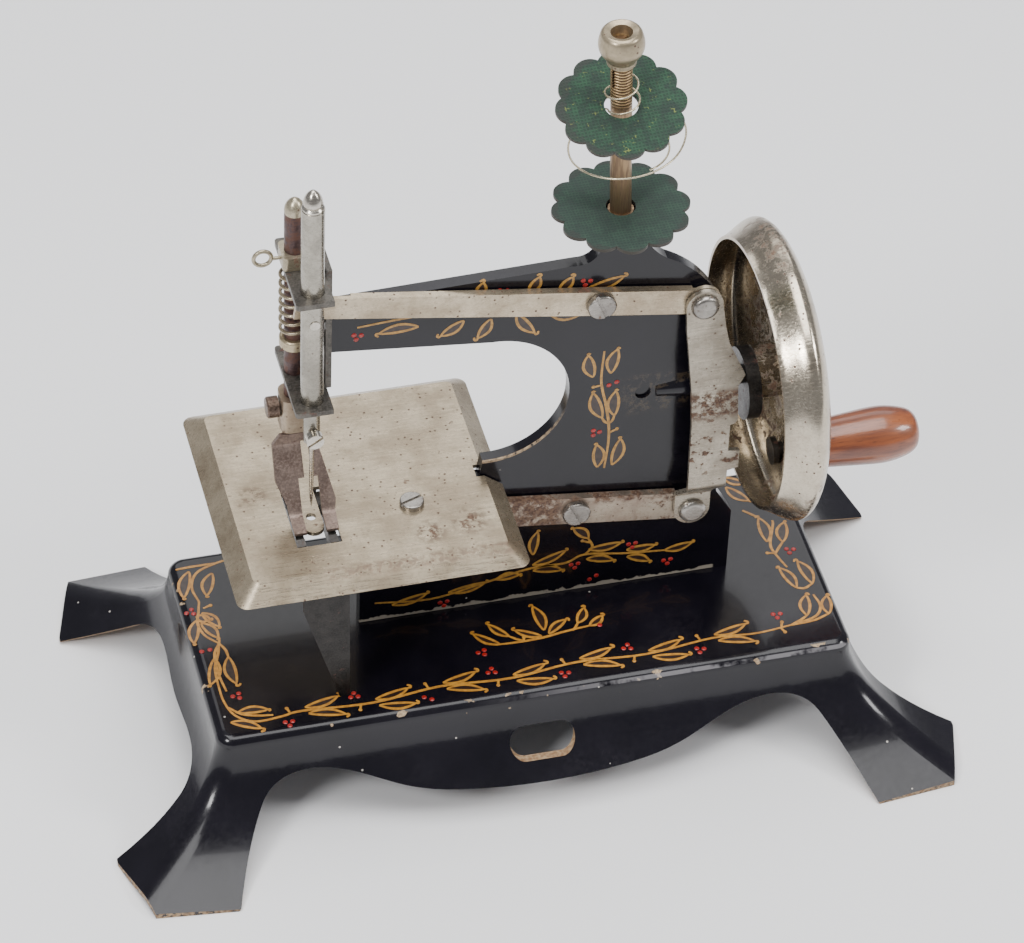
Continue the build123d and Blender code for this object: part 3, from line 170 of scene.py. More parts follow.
def enamel():
    """Glossy purplish-black enamel: chips along the creases, bare cut edges, dust, small specks and a
    painted highlight line on the front crease.
    """
    shade = Shade("enamel", Coat_Weight=0.2, Coat_Roughness=0.05, Specular_IOR_Level=0.32)
    x, y, z = (shade.axis(letter) for letter in "XYZ")
    facing = shade.normal()
    lean_x, lean_y, lean_z = (shade.axis(letter, facing) for letter in "XYZ")
    flat_y = shade.ramp(shade.sum("ABSOLUTE", lean_y, 0.0), 0.02, 0.06, 1.0, 0.0)
    flat_x = shade.ramp(shade.sum("ABSOLUTE", lean_x, 0.0), 0.02, 0.06, 1.0, 0.0)
    flat_z = shade.ramp(shade.sum("ABSOLUTE", lean_z, 0.0), 0.02, 0.06, 1.0, 0.0)
    away_y = shade.sum("ABSOLUTE", y, 0.0)
    away_x = shade.sum("ABSOLUTE", x, 0.0)
    rough_patch = shade.noise(900.0, 5.0, 0.7)
    broad = shade.noise(60.0, 4.0)
    # cut edges of the apron, the clamp slot and the feet
    low = shade.ramp(z, 0.0185, 0.0195, 1.0, 0.0)
    facing_down = shade.ramp(lean_z, -0.2, -0.1, 1.0, 0.0)
    apron_edge = shade.both(flat_y, low, facing_down, shade.ramp(away_y, 0.030, 0.031))
    end_edge = shade.both(flat_x, low, facing_down, shade.ramp(away_x, 0.073, 0.074))
    by_slot = shade.both(shade.ramp(away_x, 0.008, 0.009, 1.0, 0.0), shade.between(z, 0.011, 0.021, 0.001))
    slot_edge = shade.both(flat_y, by_slot)
    by_foot = shade.both(shade.ramp(z, 0.006, 0.008, 1.0, 0.0), shade.ramp(rough_patch, 0.40, 0.52))
    foot_edge = shade.both(flat_z, by_foot)
    cut = shade.either(apron_edge, end_edge, slot_edge, foot_edge)
    # the crease round the plateau, chipped mostly right of the middle
    crease_y = shade.between(away_y, 0.0286, 0.0306, 0.0004)
    crease_x = shade.between(away_x, 0.0716, 0.0737, 0.0004)
    crease = shade.both(shade.either(crease_y, crease_x), shade.between(z, 0.0245, 0.0282, 0.001))
    chips = shade.both(crease, shade.ramp(shade.noise(230.0, 3.0, 0.5), 0.655, 0.675))
    # painted highlight: a thin pale line along the right half of the front crease, where its rounded rim
    # catches the light
    crease_painted_highlight = shade.both(
        shade.between(z, 0.0262, 0.0268, 0.0002),
        shade.ramp(y, -0.0290, -0.0285, 1.0, 0.0),
        shade.ramp(x, -0.02, 0.03),
        shade.ramp(shade.noise(160.0, 4.0), 0.36, 0.50),
    )
    # the worn seam where the arm stands on the plateau, and the inner edge of its throat
    ragged_z = shade.sum("ADD", z, shade.ramp(shade.noise(260.0), 0.3, 0.7, 0.0, 0.0012))
    seam = shade.both(
        shade.between(y, -0.0004, 0.0004, 0.0002),
        shade.ramp(ragged_z, 0.0289, 0.0292, 1.0, 0.0),
        shade.ramp(z, 0.0276, 0.0277),
        shade.between(x, -0.0360, 0.0480, 0.0005),
    )
    throat = shade.distance((-0.0060, 0.0, 0.0894), "Y")
    rim = shade.both(
        shade.between(throat, 0.0172, 0.0180, 0.0002),
        shade.ramp(z, 0.074, 0.086, 1.0, 0.0),
        shade.between(y, -0.0004, 0.0003, 0.0002),
        shade.ramp(rough_patch, 0.38, 0.50),
        shade.ramp(z, 0.0690, 0.0700),
    )
    points = shade.ramp(shade.cells(170.0), 0.030, 0.055, 1.0, 0.0)
    specks = shade.both(points, shade.ramp(shade.noise(35.0, 2.0), 0.52, 0.56))
    # a ragged brown band on the column beside the axle
    band = shade.both(
        shade.between(z, 0.0815, 0.0890, 0.003),
        shade.between(x, 0.026, 0.047, 0.004),
        shade.ramp(shade.noise(400.0, 6.0, 0.75), 0.46, 0.62),
        shade.between(y, -0.0004, 0.0004, 0.0002),
    )
    base = shade.mix(shade.ramp(broad, 0.35, 0.65), (0.0040, 0.0034, 0.0062), (0.0070, 0.0060, 0.0100))
    haze = shade.both(shade.ramp(shade.noise(25.0, 5.0, 0.7), 0.45, 0.7), shade.ramp(lean_z, 0.3, 0.9))
    base = shade.mix(shade.both(haze, shade.ramp(rough_patch, 0.3, 0.8)), base, (0.018, 0.016, 0.021))
    base = shade.mix(band, base, (0.055, 0.040, 0.026))
    metal = shade.mix(shade.ramp(shade.noise(1400.0), 0.35, 0.65), (0.22, 0.12, 0.06), (0.42, 0.30, 0.18))
    base = shade.mix(cut, base, metal)
    bare = shade.mix(shade.ramp(shade.noise(1800.0), 0.4, 0.6), (0.50, 0.38, 0.24), (0.30, 0.20, 0.12))
    base = shade.mix(shade.either(chips, rim), base, bare)
    base = shade.mix(seam, base, (0.34, 0.30, 0.24))
    # lay the painted highlight over the front crease
    base = shade.mix(shade.both(crease_painted_highlight, 0.6), base, (0.30, 0.29, 0.30))
    base = shade.mix(specks, base, (0.55, 0.52, 0.47))
    worn = shade.either(cut, chips, seam, rim, specks)
    roughness = shade.sum("ADD", shade.ramp(rough_patch, 0.3, 0.7, 0.16, 0.24), shade.both(worn, 0.4))
    coat = shade.ramp(worn, 0.0, 1.0, 0.2, 0.0)
    shade._feed(shade.shader.inputs["Coat Weight"], coat)
    height = shade.sum("SUBTRACT", shade.both(shade.noise(55.0, 2.0), 0.35), shade.both(worn, 0.5))
    return shade.finish(base, roughness, None, height, 0.0002, 0.35)


def nickel(name, light, dark, pits, rust, roughness=0.3, rust_where=None, shine=0.75):
    """Worn nickel plate: cream metal, grey clouds, brown pits and patches of rust."""
    shade = Shade(name)
    clouds = shade.noise(90.0, 5.0, 0.65)
    fine = shade.noise(1500.0, 4.0, 0.6)
    scratches = shade.noise(1.0, 3.0, 0.6, shade.stretched(160.0, 2600.0, 2600.0))
    colour = shade.mix(shade.ramp(clouds, 0.35, 0.65), light, dark)
    colour = shade.mix(shade.ramp(fine, 0.45, 0.75, 0.0, 0.35), colour, tuple(c * 0.55 for c in dark))
    spots = shade.both(
        shade.ramp(shade.cells(620.0), 0.10, 0.20, 1.0, 0.0),
        shade.ramp(shade.noise(150.0, 3.0, 0.6), 0.62 - pits * 0.25, 0.68 - pits * 0.25),
    )
    blotch = shade.ramp(shade.noise(190.0, 6.0, 0.7), 0.74 - rust * 0.32, 0.82 - rust * 0.32)
    if rust_where:
        blotch = shade.either(blotch, rust_where(shade))
    brown = shade.mix(shade.ramp(fine, 0.35, 0.65), (0.085, 0.045, 0.032), (0.20, 0.12, 0.075))
    colour = shade.mix(spots, colour, (0.10, 0.055, 0.035))
    colour = shade.mix(blotch, colour, brown)
    worn = shade.either(spots, blotch)
    polish = shade.ramp(scratches, 0.3, 0.7, roughness - 0.06, roughness + 0.08)
    rough = shade.sum("ADD", polish, shade.both(worn, 0.35))
    metallic = shade.ramp(worn, 0.0, 1.0, shine, 0.15)
    height = shade.sum("SUBTRACT", shade.ramp(scratches, 0.0, 1.0, 0.5, 0.62), shade.both(worn, 0.4))
    return shade.finish(colour, rough, metallic, height, 0.00012, 0.5)


def plate_rust(shade):
    """A brown patch at the front right of the cloth plate, another ring of pits behind it, and a darker
    streak along its front bevel.
    """
    ragged = shade.ramp(shade.noise(420.0, 6.0, 0.75), 0.47, 0.56)
    front = shade.either(
        shade.ramp(shade.distance((-0.0135, -0.0135, 0.068)), 0.001, 0.0055, 1.0, 0.0),
        shade.ramp(shade.distance((-0.0225, -0.0152, 0.068)), 0.001, 0.0045, 1.0, 0.0),
    )
    left = shade.ramp(shade.distance((-0.058, 0.004, 0.068)), 0.001, 0.004, 0.8, 0.0)
    x, y = shade.axis("X"), shade.axis("Y")
    # darker brown along the front bevel of the plate
    bevel = shade.both(shade.between(y, -0.0236, -0.0222, 0.0012), shade.between(x, -0.045, -0.008, 0.006))
    darker_bevel = shade.both(bevel, shade.ramp(shade.noise(800.0), 0.4, 0.6), 0.6)
    return shade.either(shade.both(ragged, shade.either(front, left)), darker_bevel)


def link_rust(shade):
    """The pitted band across the link at the height of the axle."""
    ragged = shade.ramp(shade.noise(520.0, 6.0, 0.75), 0.42, 0.54)
    z = shade.axis("Z")
    band = shade.between(z, 0.0825, 0.0880, 0.0025)
    blots = shade.ramp(shade.noise(300.0, 5.0), 0.56, 0.60)
    below = shade.both(shade.between(z, 0.066, 0.080, 0.003), blots)
    return shade.either(shade.both(ragged, band), below)


def lower_lever_rust(shade):
    """Rust left of the lower lever's screw and along its top edge."""
    ragged = shade.ramp(shade.noise(420.0, 6.0, 0.7), 0.36, 0.50)
    x, z = shade.axis("X"), shade.axis("Z")
    left = shade.ramp(x, 0.009, 0.014, 1.0, 0.0)
    # the lever slopes 7.65 degrees down to the right from its pivot
    along = shade.sum("ADD", z, shade.sum("DIVIDE", x, 7.446))
    top = shade.both(shade.ramp(along, 0.0578, 0.0590), shade.ramp(shade.noise(230.0, 4.0), 0.45, 0.6))
    right = shade.both(shade.between(x, 0.030, 0.037, 0.003), shade.ramp(shade.noise(330.0, 4.0), 0.5, 0.6))
    return shade.both(ragged, shade.either(left, top, right))


def wheel_rust(shade):
    """Brown pits where the rim turns, around the mouth and over the inside of the wheel."""
    ragged = shade.ramp(shade.noise(300.0, 7.0, 0.75), 0.50, 0.60)
    x = shade.axis("X")
    radius = shade.distance(AXLE, "X")
    turn = shade.both(shade.between(x, 0.0560, 0.0600, 0.003), ragged)
    within = shade.ramp(radius, 0.0290, 0.0300, 1.0, 0.0)
    inside = shade.both(within, shade.ramp(x, 0.0635, 0.0640, 1.0, 0.0))
    patches = shade.ramp(shade.noise(45.0, 2.0), 0.5, 0.6)
    return shade.either(shade.both(turn, patches), shade.both(inside, ragged))


def steel(name, light, dark, rust, roughness=0.45, metallic=0.7, rust_colour=(0.11, 0.05, 0.035)):
    """Darkened steel with a mottled surface and specks of rust."""
    shade = Shade(name)
    clouds = shade.noise(240.0, 6.0, 0.7)
    fine = shade.noise(2200.0, 4.0, 0.6)
    colour = shade.mix(shade.ramp(clouds, 0.35, 0.65), light, dark)
    colour = shade.mix(shade.ramp(fine, 0.4, 0.7, 0.0, 0.5), colour, tuple(c * 1.7 for c in light))
    spots = shade.ramp(shade.noise(500.0, 6.0, 0.7), 0.76 - rust * 0.4, 0.86 - rust * 0.4)
    colour = shade.mix(spots, colour, rust_colour)
    grit = shade.ramp(fine, 0.3, 0.7, roughness - 0.1, roughness + 0.1)
    rough = shade.sum("ADD", grit, shade.both(spots, 0.25))
    height = shade.sum("SUBTRACT", shade.ramp(fine, 0.0, 1.0, 0.4, 0.6), shade.both(spots, 0.4))
    return shade.finish(colour, rough, shade.ramp(spots, 0.0, 1.0, metallic, 0.2), height, 0.0001, 0.6)


def post_brass():
    """Tarnished brass post: redder below, with the thread cut into its upper part."""
    shade = Shade("post_brass")
    z = shade.axis("Z")
    streaks = shade.noise(1.0, 4.0, 0.6, shade.stretched(1500.0, 1500.0, 160.0))
    colour = shade.mix(shade.ramp(streaks, 0.35, 0.65), (0.34, 0.23, 0.13), (0.20, 0.13, 0.08))
    threaded = shade.ramp(z, 0.167, 0.169)
    thread = shade.waves(420.0, "Z")
    roots = shade.both(threaded, shade.ramp(thread, 0.2, 0.7, 0.7, 0.0))
    crests = shade.both(threaded, shade.ramp(thread, 0.6, 0.95))
    colour = shade.mix(roots, colour, (0.16, 0.09, 0.045))
    colour = shade.mix(crests, colour, (0.72, 0.50, 0.25))
    height = shade.sum("ADD", shade.both(threaded, thread), shade.both(streaks, 0.2))
    rough = shade.ramp(streaks, 0.3, 0.7, 0.28, 0.5)
    metallic = shade.ramp(streaks, 0.3, 0.7, 0.85, 0.6)
    return shade.finish(colour, rough, metallic, height, 0.00025, 0.8)


def woven(name, dark, light, centre_z, rim, fleck, relief):
    """Coarse woven cloth: crossing threads, lighter flecks and a dark, frayed edge."""
    shade = Shade(name, Sheen_Weight=0.25, Sheen_Roughness=0.5)
    warp = shade.waves(430.0, "X", distortion=2.5)
    weft = shade.waves(390.0, "Y", distortion=2.5)
    threads = shade.sum("MAXIMUM", warp, weft)
    clouds = shade.noise(330.0, 6.0, 0.75)
    colour = shade.mix(shade.ramp(clouds, 0.36, 0.66), dark, light)
    colour = shade.mix(shade.ramp(threads, 0.45, 1.0, 0.45, 0.0), colour, tuple(c * 0.45 for c in dark))
    tufts = shade.ramp(shade.noise(520.0, 3.0, 0.6), 0.60, 0.68)
    pale = shade.both(tufts, shade.ramp(threads, 0.75, 0.95), fleck)
    colour = shade.mix(pale, colour, (0.16, 0.19, 0.04))
    radius = shade.distance((POST_X, 0.0015, centre_z), "Z")
    frayed = shade.sum("ADD", radius, shade.ramp(shade.noise(420.0, 4.0), 0.3, 0.7, 0.0, 0.0016))
    edge = shade.ramp(frayed, rim - 0.0002, rim + 0.0006)
    colour = shade.mix(shade.both(edge, 0.6), colour, (0.020, 0.020, 0.018))
    side = shade.ramp(shade.sum("ABSOLUTE", shade.axis("Z", shade.normal()), 0.0), 0.5, 0.8, 1.0, 0.0)
    colour = shade.mix(shade.both(side, 0.8), colour, (0.040, 0.030, 0.022))
    height = shade.sum("ADD", shade.both(threads, 0.6), shade.both(shade.noise(1300.0, 3.0), 0.3))
    return shade.finish(colour, shade.ramp(clouds, 0.3, 0.7, 0.75, 0.95), None, height, 0.00015, relief)


def wood():
    """Lacquered reddish-brown grip with fine lengthwise grain."""
    shade = Shade("wood", Coat_Weight=0.6, Coat_Roughness=0.12)
    grain = shade.noise(1.0, 6.0, 0.65, shade.stretched(42.0, 620.0, 620.0))
    pores = shade.noise(1.0, 3.0, 0.5, shade.stretched(240.0, 3600.0, 3600.0))
    broad = shade.noise(1.0, 3.0, 0.5, shade.stretched(30.0, 150.0, 150.0))
    colour = shade.mix(shade.ramp(grain, 0.35, 0.68), (0.30, 0.085, 0.030), (0.115, 0.028, 0.014))
    colour = shade.mix(shade.ramp(broad, 0.4, 0.7, 0.0, 0.5), colour, (0.42, 0.14, 0.05))
    colour = shade.mix(shade.ramp(pores, 0.60, 0.72, 0.0, 0.6), colour, (0.05, 0.014, 0.008))
    height = shade.sum("ADD", shade.both(grain, 0.4), shade.both(pores, 0.4))
    return shade.finish(colour, shade.ramp(grain, 0.3, 0.7, 0.26, 0.4), None, height, 0.00015, 0.35)


def paint(name, colour, shadow, roughness=0.4):
    """Brushed-on decoration with thick and thin places."""
    shade = Shade(name, Coat_Weight=0.3, Coat_Roughness=0.15)
    load = shade.noise(900.0, 4.0, 0.6)
    tone = shade.mix(shade.ramp(load, 0.35, 0.65), colour, shadow)
    rough = shade.ramp(load, 0.3, 0.7, roughness - 0.08, roughness + 0.1)
    return shade.finish(tone, rough, None, load, 0.00006, 0.5)


slots = {
    "enamel": enamel(),
    "plate_nickel": nickel(
        "plate_nickel", (0.50, 0.42, 0.305), (0.33, 0.265, 0.185),
        0.70, 0.34, 0.30, plate_rust,
    ),
    "wheel_nickel": nickel(
        "wheel_nickel", (0.60, 0.53, 0.42), (0.42, 0.36, 0.28),
        0.45, 0.35, 0.20, wheel_rust, 0.96,
    ),
    "lever_nickel": nickel("lever_nickel", (0.58, 0.49, 0.36), (0.37, 0.295, 0.205), 0.90, 0.28, 0.30),
    "link_nickel": nickel(
        "link_nickel", (0.47, 0.42, 0.34), (0.30, 0.26, 0.205),
        0.80, 0.33, 0.30, link_rust,
    ),
    "bright_nickel": nickel(
        "bright_nickel", (0.62, 0.58, 0.51), (0.44, 0.40, 0.34),
        0.30, 0.25, 0.22, None, 0.95,
    ),
    "dark_steel": steel("dark_steel", (0.050, 0.045, 0.041), (0.020, 0.018, 0.017), 0.45, 0.38, 0.75),
    "rusty_steel": steel("rusty_steel", (0.085, 0.052, 0.050), (0.040, 0.022, 0.022), 0.75, 0.40, 0.5),
    "copper_brown": steel(
        "copper_brown", (0.24, 0.18, 0.15), (0.15, 0.105, 0.085),
        0.45, 0.40, 0.6, (0.10, 0.055, 0.04),
    ),
    "cap_nickel": nickel("cap_nickel", (0.52, 0.46, 0.34), (0.36, 0.31, 0.22), 0.40, 0.40, 0.30),
    "post_brass": post_brass(),
    "nut_brass": nickel("nut_brass", (0.48, 0.40, 0.28), (0.33, 0.27, 0.18), 0.60, 0.35, 0.34),
    "spring_wire": nickel("spring_wire", (0.72, 0.64, 0.46), (0.50, 0.42, 0.28), 0.20, 0.20, 0.24),
    "disc_cloth": woven(
        "disc_cloth", (0.005, 0.022, 0.013), (0.022, 0.075, 0.038),
        0.1389, 0.0134, 1.0, 0.7,
    ),
    "wood": wood(),
}
lower_lever_finish = nickel(
    "lower_lever_rusted", (0.50, 0.43, 0.34), (0.36, 0.28, 0.22),
    0.8, 0.45, 0.33, lower_lever_rust,
)
lower_disc_finish = woven(
    "lower_disc_cloth", (0.011, 0.032, 0.022), (0.027, 0.066, 0.042),
    0.1389, 0.0143, 0.0, 0.25,
)

slot_of = {part["node"]: part["material_slot"] for part in frame["record"]["subparts"]}
tan_nickel = nickel("block_nickel", (0.42, 0.34, 0.25), (0.27, 0.20, 0.14), 0.6, 0.4, 0.36)
screw_grey = nickel("screw_grey", (0.40, 0.375, 0.34), (0.24, 0.22, 0.20), 0.5, 0.4, 0.30, None, 0.85)
guide_steel = steel("guide_steel", (0.13, 0.12, 0.105), (0.060, 0.055, 0.050), 0.45, 0.42, 0.7)
dull_screws = ("plate_screw", "upper_pivot_screw", "lower_pivot_screw", "upper_rivet", "lower_rivet")
special = {
    "lower_lever": lower_lever_finish,
    "lower_disc": lower_disc_finish,
    "foot_block": tan_nickel,
    "foot_screw": steel("screw_brown", (0.17, 0.12, 0.09), (0.09, 0.06, 0.045), 0.5, 0.36, 0.7),
    "presser_spring": nickel("coil_nickel", (0.50, 0.43, 0.31), (0.30, 0.24, 0.16), 0.5, 0.4, 0.28),
    "spring_collar": nickel("collar_nickel", (0.50, 0.42, 0.28), (0.32, 0.25, 0.16), 0.6, 0.4, 0.32),
    "needle_bar": nickel("bar_nickel", (0.44, 0.41, 0.35), (0.28, 0.26, 0.22), 0.3, 0.3, 0.24, None, 0.92),
    "head_bracket": guide_steel,
    "plate_leg": steel("leg_steel", (0.032, 0.029, 0.027), (0.014, 0.013, 0.012), 0.35, 0.36, 0.7),
    **{screw: screw_grey for screw in dull_screws},
}
for node, thing in frame["nodes"].items():
    finish = special.get(node, slots[slot_of[node]])
    if not thing.material_slots:
        thing.data.materials.append(finish)
    for material_slot in thing.material_slots:
        material_slot.material = finish

# a copy of the presser bar's spring rides on the presser bar in place of the original, which is hidden
coil = bpy.data.objects.new("presser_coil", frame["nodes"]["presser_spring"].data.copy())
bpy.context.scene.collection.objects.link(coil)
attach(coil, "presser_bar")
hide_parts("presser_spring")
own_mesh(coil)

gold = paint("vine_gold", (0.60, 0.28, 0.035), (0.40, 0.17, 0.022))
pale_gold = paint("arm_gold", (0.52, 0.27, 0.045), (0.33, 0.165, 0.03))
leaf_brown = paint("leaf_brown", (0.035, 0.014, 0.007), (0.016, 0.008, 0.006))
berry_red = paint("berry_red", (0.44, 0.018, 0.014), (0.30, 0.012, 0.010), 0.3)


# ------------------------------------------------------------------ painted decoration
MM = 0.001
STROKE = 0.56  # width of a brush stroke in millimetres
SUNK = 0.05  # how far the underside of the paint is sunk into the enamel


def smooth(points, steps=6):
    """A smooth line through the points (Catmull-Rom)."""
    points = [Vector(p) for p in points]
    padded = [2 * points[0] - points[1], *points, 2 * points[-1] - points[-2]]
    line = []
    for a, b, c, d in zip(padded, padded[1:], padded[2:], padded[3:]):
        for step in range(steps):
            t = step / steps
            square = (2 * a - 5 * b + 4 * c - d) * t**2
            cube = (3 * b - a - 3 * c + d) * t**3
            line.append(0.5 * (2 * b + (c - a) * t + square + cube))
    return [*line, points[-1]]


class Painting:
    """Thin closed ribbons and dots laid on one flat face of the enamel."""

    def __init__(self, name, finish, onto, proud):
        self.name, self.finish, self.onto, self.proud = name, finish, onto, proud
        self.points, self.faces = [], []
        self.ribbons = 0

    def ribbon(self, line, widths):
        first = len(self.points)
        self.ribbons += 1
        # crossing ribbons never lie at the same height
        proud = self.proud * (1 + 0.03 * (self.ribbons % 13))
        for place, point in enumerate(line):
            ahead = line[min(place + 1, len(line) - 1)] - line[max(place - 1, 0)]
            ahead = ahead.normalized() if ahead.length > 0 else Vector((1, 0))
            across = Vector((-ahead.y, ahead.x)) * widths[place] / 2
            for side in (point + across, point - across):
                self.points.append(self.onto(side.x, side.y, proud))
                self.points.append(self.onto(side.x, side.y, -SUNK))
        for place in range(len(line) - 1):
            a = first + 4 * place
            b = a + 4
            self.faces += [(a, b, b + 2, a + 2), (a + 1, a + 3, b + 3, b + 1)]
            self.faces += [(a, a + 1, b + 1, b), (a + 2, b + 2, b + 3, a + 3)]
        last = first + 4 * (len(line) - 1)
        self.faces += [(first, first + 2, first + 3, first + 1), (last, last + 1, last + 3, last + 2)]

    def stroke(self, points, width=STROKE):
        line = smooth(points)
        count = len(line) - 1
        swell = [math.sin(math.pi * (0.12 + 0.76 * i / count)) for i in range(count + 1)]
        self.ribbon(line, [width * (0.55 + 0.45 * share) for share in swell])

    def dot(self, centre, radius, sides=12):
        first = len(self.points)
        for ring, height in ((1.0, -SUNK), (1.0, self.proud * 0.7), (0.6, self.proud * 1.8)):
            for side in range(sides):
                angle = 2 * math.pi * side / sides
                x = centre[0] + radius * ring * math.cos(angle)
                y = centre[1] + radius * ring * math.sin(angle)
                self.points.append(self.onto(x, y, height))
        for ring in range(2):
            for side in range(sides):
                a = first + ring * sides + side
                b = first + ring * sides + (side + 1) % sides
                self.faces.append((a, b, b + sides, a + sides))
        self.faces.append(tuple(first + side for side in reversed(range(sides))))
        self.faces.append(tuple(first + 2 * sides + side for side in range(sides)))

    def lay(self, slot):
        mesh = bpy.data.meshes.new(self.name)
        mesh.from_pydata(self.points, [], self.faces)
        mesh.materials.append(self.finish)
        mesh.validate()
        piece = bpy.data.objects.new(self.name, mesh)
        bpy.context.scene.collection.objects.link(piece)
        bpy.context.view_layer.objects.active = piece
        piece.select_set(True)
        bpy.ops.object.mode_set(mode="EDIT")
        bpy.ops.mesh.select_all(action="SELECT")
        bpy.ops.mesh.normals_make_consistent(inside=False)
        bpy.ops.object.mode_set(mode="OBJECT")
        piece.select_set(False)
        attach(piece, "frame")


def on_plateau(x, y, lift):
    return (x * MM, y * MM, BASE_TOP + lift * MM)


def on_arm(x, z, lift):
    return (x * MM, -lift * MM, z * MM)


class Sprigs:
    """Vines in gold outline with darker leaves and red berries, all on one face."""

    def __init__(self, name, onto, outline_finish):
        self.gold = Painting(name + "_gilding", outline_finish, onto, 0.05)
        self.brown = Painting(name + "_leaves", leaf_brown, onto, 0.035)
        self.red = Painting(name + "_berries", berry_red, onto, 0.10)

    def leaf(self, base, tip, width=3.0, curl=1, hook=0.9):
        """A pointed leaf outlined in gold; its tip ends in a small hook that turns left when curl is 1."""
        base, tip = Vector(base), Vector(tip)
        ahead = tip - base
        across = Vector((-ahead.y, ahead.x)).normalized()
        count = 12
        ridge, half = [], []
        for place in range(count + 1):
            share = place / count
            bow = 0.06 * ahead.length * math.sin(math.pi * share) * curl
            ridge.append(base + ahead * share - across * bow)
            half.append(0.38 * width * math.sin(math.pi * share) ** 0.8)
        widths = [STROKE * (0.8 + 0.4 * math.sin(math.pi * i / count)) for i in range(count + 1)]
        for side in (1, -1):
            edge = [point + across * side * reach for point, reach in zip(ridge, half)]
            self.gold.ribbon(edge, widths)
        self.brown.ribbon(ridge, [max(2 * reach - 0.3, 0.02) for reach in half])
        if hook:
            end = ahead.normalized()
            bend = across * curl
            crown = tip + (end + bend * 0.7) * hook * 0.8
            point = tip + bend * hook * 1.1 + end * hook * 0.2
            self.gold.stroke([tip, tip + end * hook * 0.7, crown, point], STROKE * 1.1)

    def stem(self, *points):
        self.gold.stroke(points, STROKE * 1.15)

    def bud(self, foot, head):
        self.gold.stroke([foot, (Vector(foot) + Vector(head)) / 2, head], STROKE)
        self.gold.dot(head, 0.45)

    def berries(self, centre, count=3, turn=0.0):
        for which in range(count):
            angle = turn + 2 * math.pi * which / count
            self.red.dot((centre[0] + 0.95 * math.cos(angle), centre[1] + 0.8 * math.sin(angle)), 0.58)

    def lay(self):
        for painting in (self.gold, self.brown, self.red):
            painting.lay("enamel")


def front_border(sprigs):
    """A running vine with a pair of leaves at every node, rising slightly to the right."""
    pitch, nodes = 15.8, 7
    places = [(-52.9 + pitch * i, -24.6 + 0.37 * i + (0.65 if i % 2 == 0 else -0.65)) for i in range(nodes)]
    corner = [(-69.4, -12.0), (-69.2, -17.5), (-67.6, -22.2), (-63.6, -24.9), (-57.5, -24.6)]
    sprigs.stem(*corner, *places, (52.0, -22.4), (60.5, -21.6))
    sprigs.stem((-68.6, -19.5), (-66.2, -22.0), (-63.0, -23.2), (-59.4, -23.8))
    sprigs.leaf((-66.9, -21.4), (-60.2, -21.9), 2.4, -1, 0.5)
    sprigs.leaf((-69.0, -24.0), (-62.8, -27.2), 2.3, -1)
    for place, (x, y) in enumerate(places):
        below = place % 2 == 0
        side = -1 if below else 1
        sprigs.leaf((x + 0.8, y + 0.9), (x + 8.6, y + 2.7), 2.3, 1)
        lower_tip = (x + 9.2, y - 3.0 + 0.8 * (place % 2))
        sprigs.leaf((x + 1.2, y - 1.1), lower_tip, 2.3, 1 if place % 2 else -1, 0.8)
        sprigs.bud((x - 2.8, y - 0.1 * side), (x - 3.2, y - 1.5 * side))
        sprigs.berries((x - 3.6, y + 3.0 * side), 2 if place == 2 else 3, 0.5 + place)
    sprigs.leaf((65.0, -19.4), (66.6, -13.2), 3.0, -1, 0.7)
    sprigs.leaf((70.0, -19.9), (71.2, -14.4), 2.9, -1, 0.6)
    sprigs.stem((60.5, -21.6), (63.0, -20.6), (65.0, -19.4))
    sprigs.stem((60.5, -21.6), (66.6, -20.2), (68.8, -17.2), (68.3, -13.3))
    sprigs.stem((60.5, -21.6), (66.2, -21.2), (70.0, -19.9))
    sprigs.bud((58.2, -21.8), (58.8, -20.2))
    sprigs.bud((58.0, -22.0), (58.6, -23.4))
    sprigs.berries((58.3, -17.9), 3, 0.4)


def left_border(sprigs):
    sprigs.stem((-69.4, -12.0), (-69.0, -7.0), (-67.4, -2.6), (-66.6, 0.4))
    sprigs.stem((-68.0, -14.5), (-68.6, -9.0), (-68.3, -3.0), (-66.6, 0.4), (-66.2, 2.4))
    sprigs.leaf((-68.5, -4.0), (-71.0, -11.8), 3.2, -1, 0.5)
    sprigs.leaf((-65.4, -4.2), (-65.4, -12.6), 3.2, 1)
    sprigs.stem((-66.6, 0.4), (-65.6, -1.8), (-65.4, -4.2))
    sprigs.berries((-66.0, -16.4), 3, 1.0)
    sprigs.berries((-69.9, -1.2), 2, 0.1)
    sprigs.berries((-70.8, 11.4), 3, 1.2)
    # the flower-like cluster
    sprigs.stem((-66.6, 0.4), (-69.2, 3.6), (-70.0, 7.4), (-69.2, 10.6), (-68.3, 14.2))
    for foot, tip, curl in (
        ((-69.9, 8.6), (-72.0, 1.6), 1),
        ((-68.4, 10.6), (-65.4, 5.6), -1),
        ((-69.2, 7.4), (-66.4, 2.2), -1),
        ((-69.8, 9.8), (-67.0, 8.2), 1),
    ):
        sprigs.leaf(foot, tip, 2.8, curl, 0.5)
    sprigs.bud((-67.8, 12.0), (-66.0, 12.6))
    # the pair of leaves under the arching top
    sprigs.stem((-68.3, 14.2), (-69.0, 19.0), (-67.0, 23.4), (-62.0, 25.6), (-57.0, 26.4))
    sprigs.leaf((-68.6, 24.2), (-71.4, 16.2), 3.2, 1, 0.5)
    sprigs.leaf((-63.6, 22.6), (-66.2, 15.8), 3.2, 1, 0.5)
    sprigs.stem((-71.4, 25.4), (-68.0, 25.6), (-62.0, 25.6))


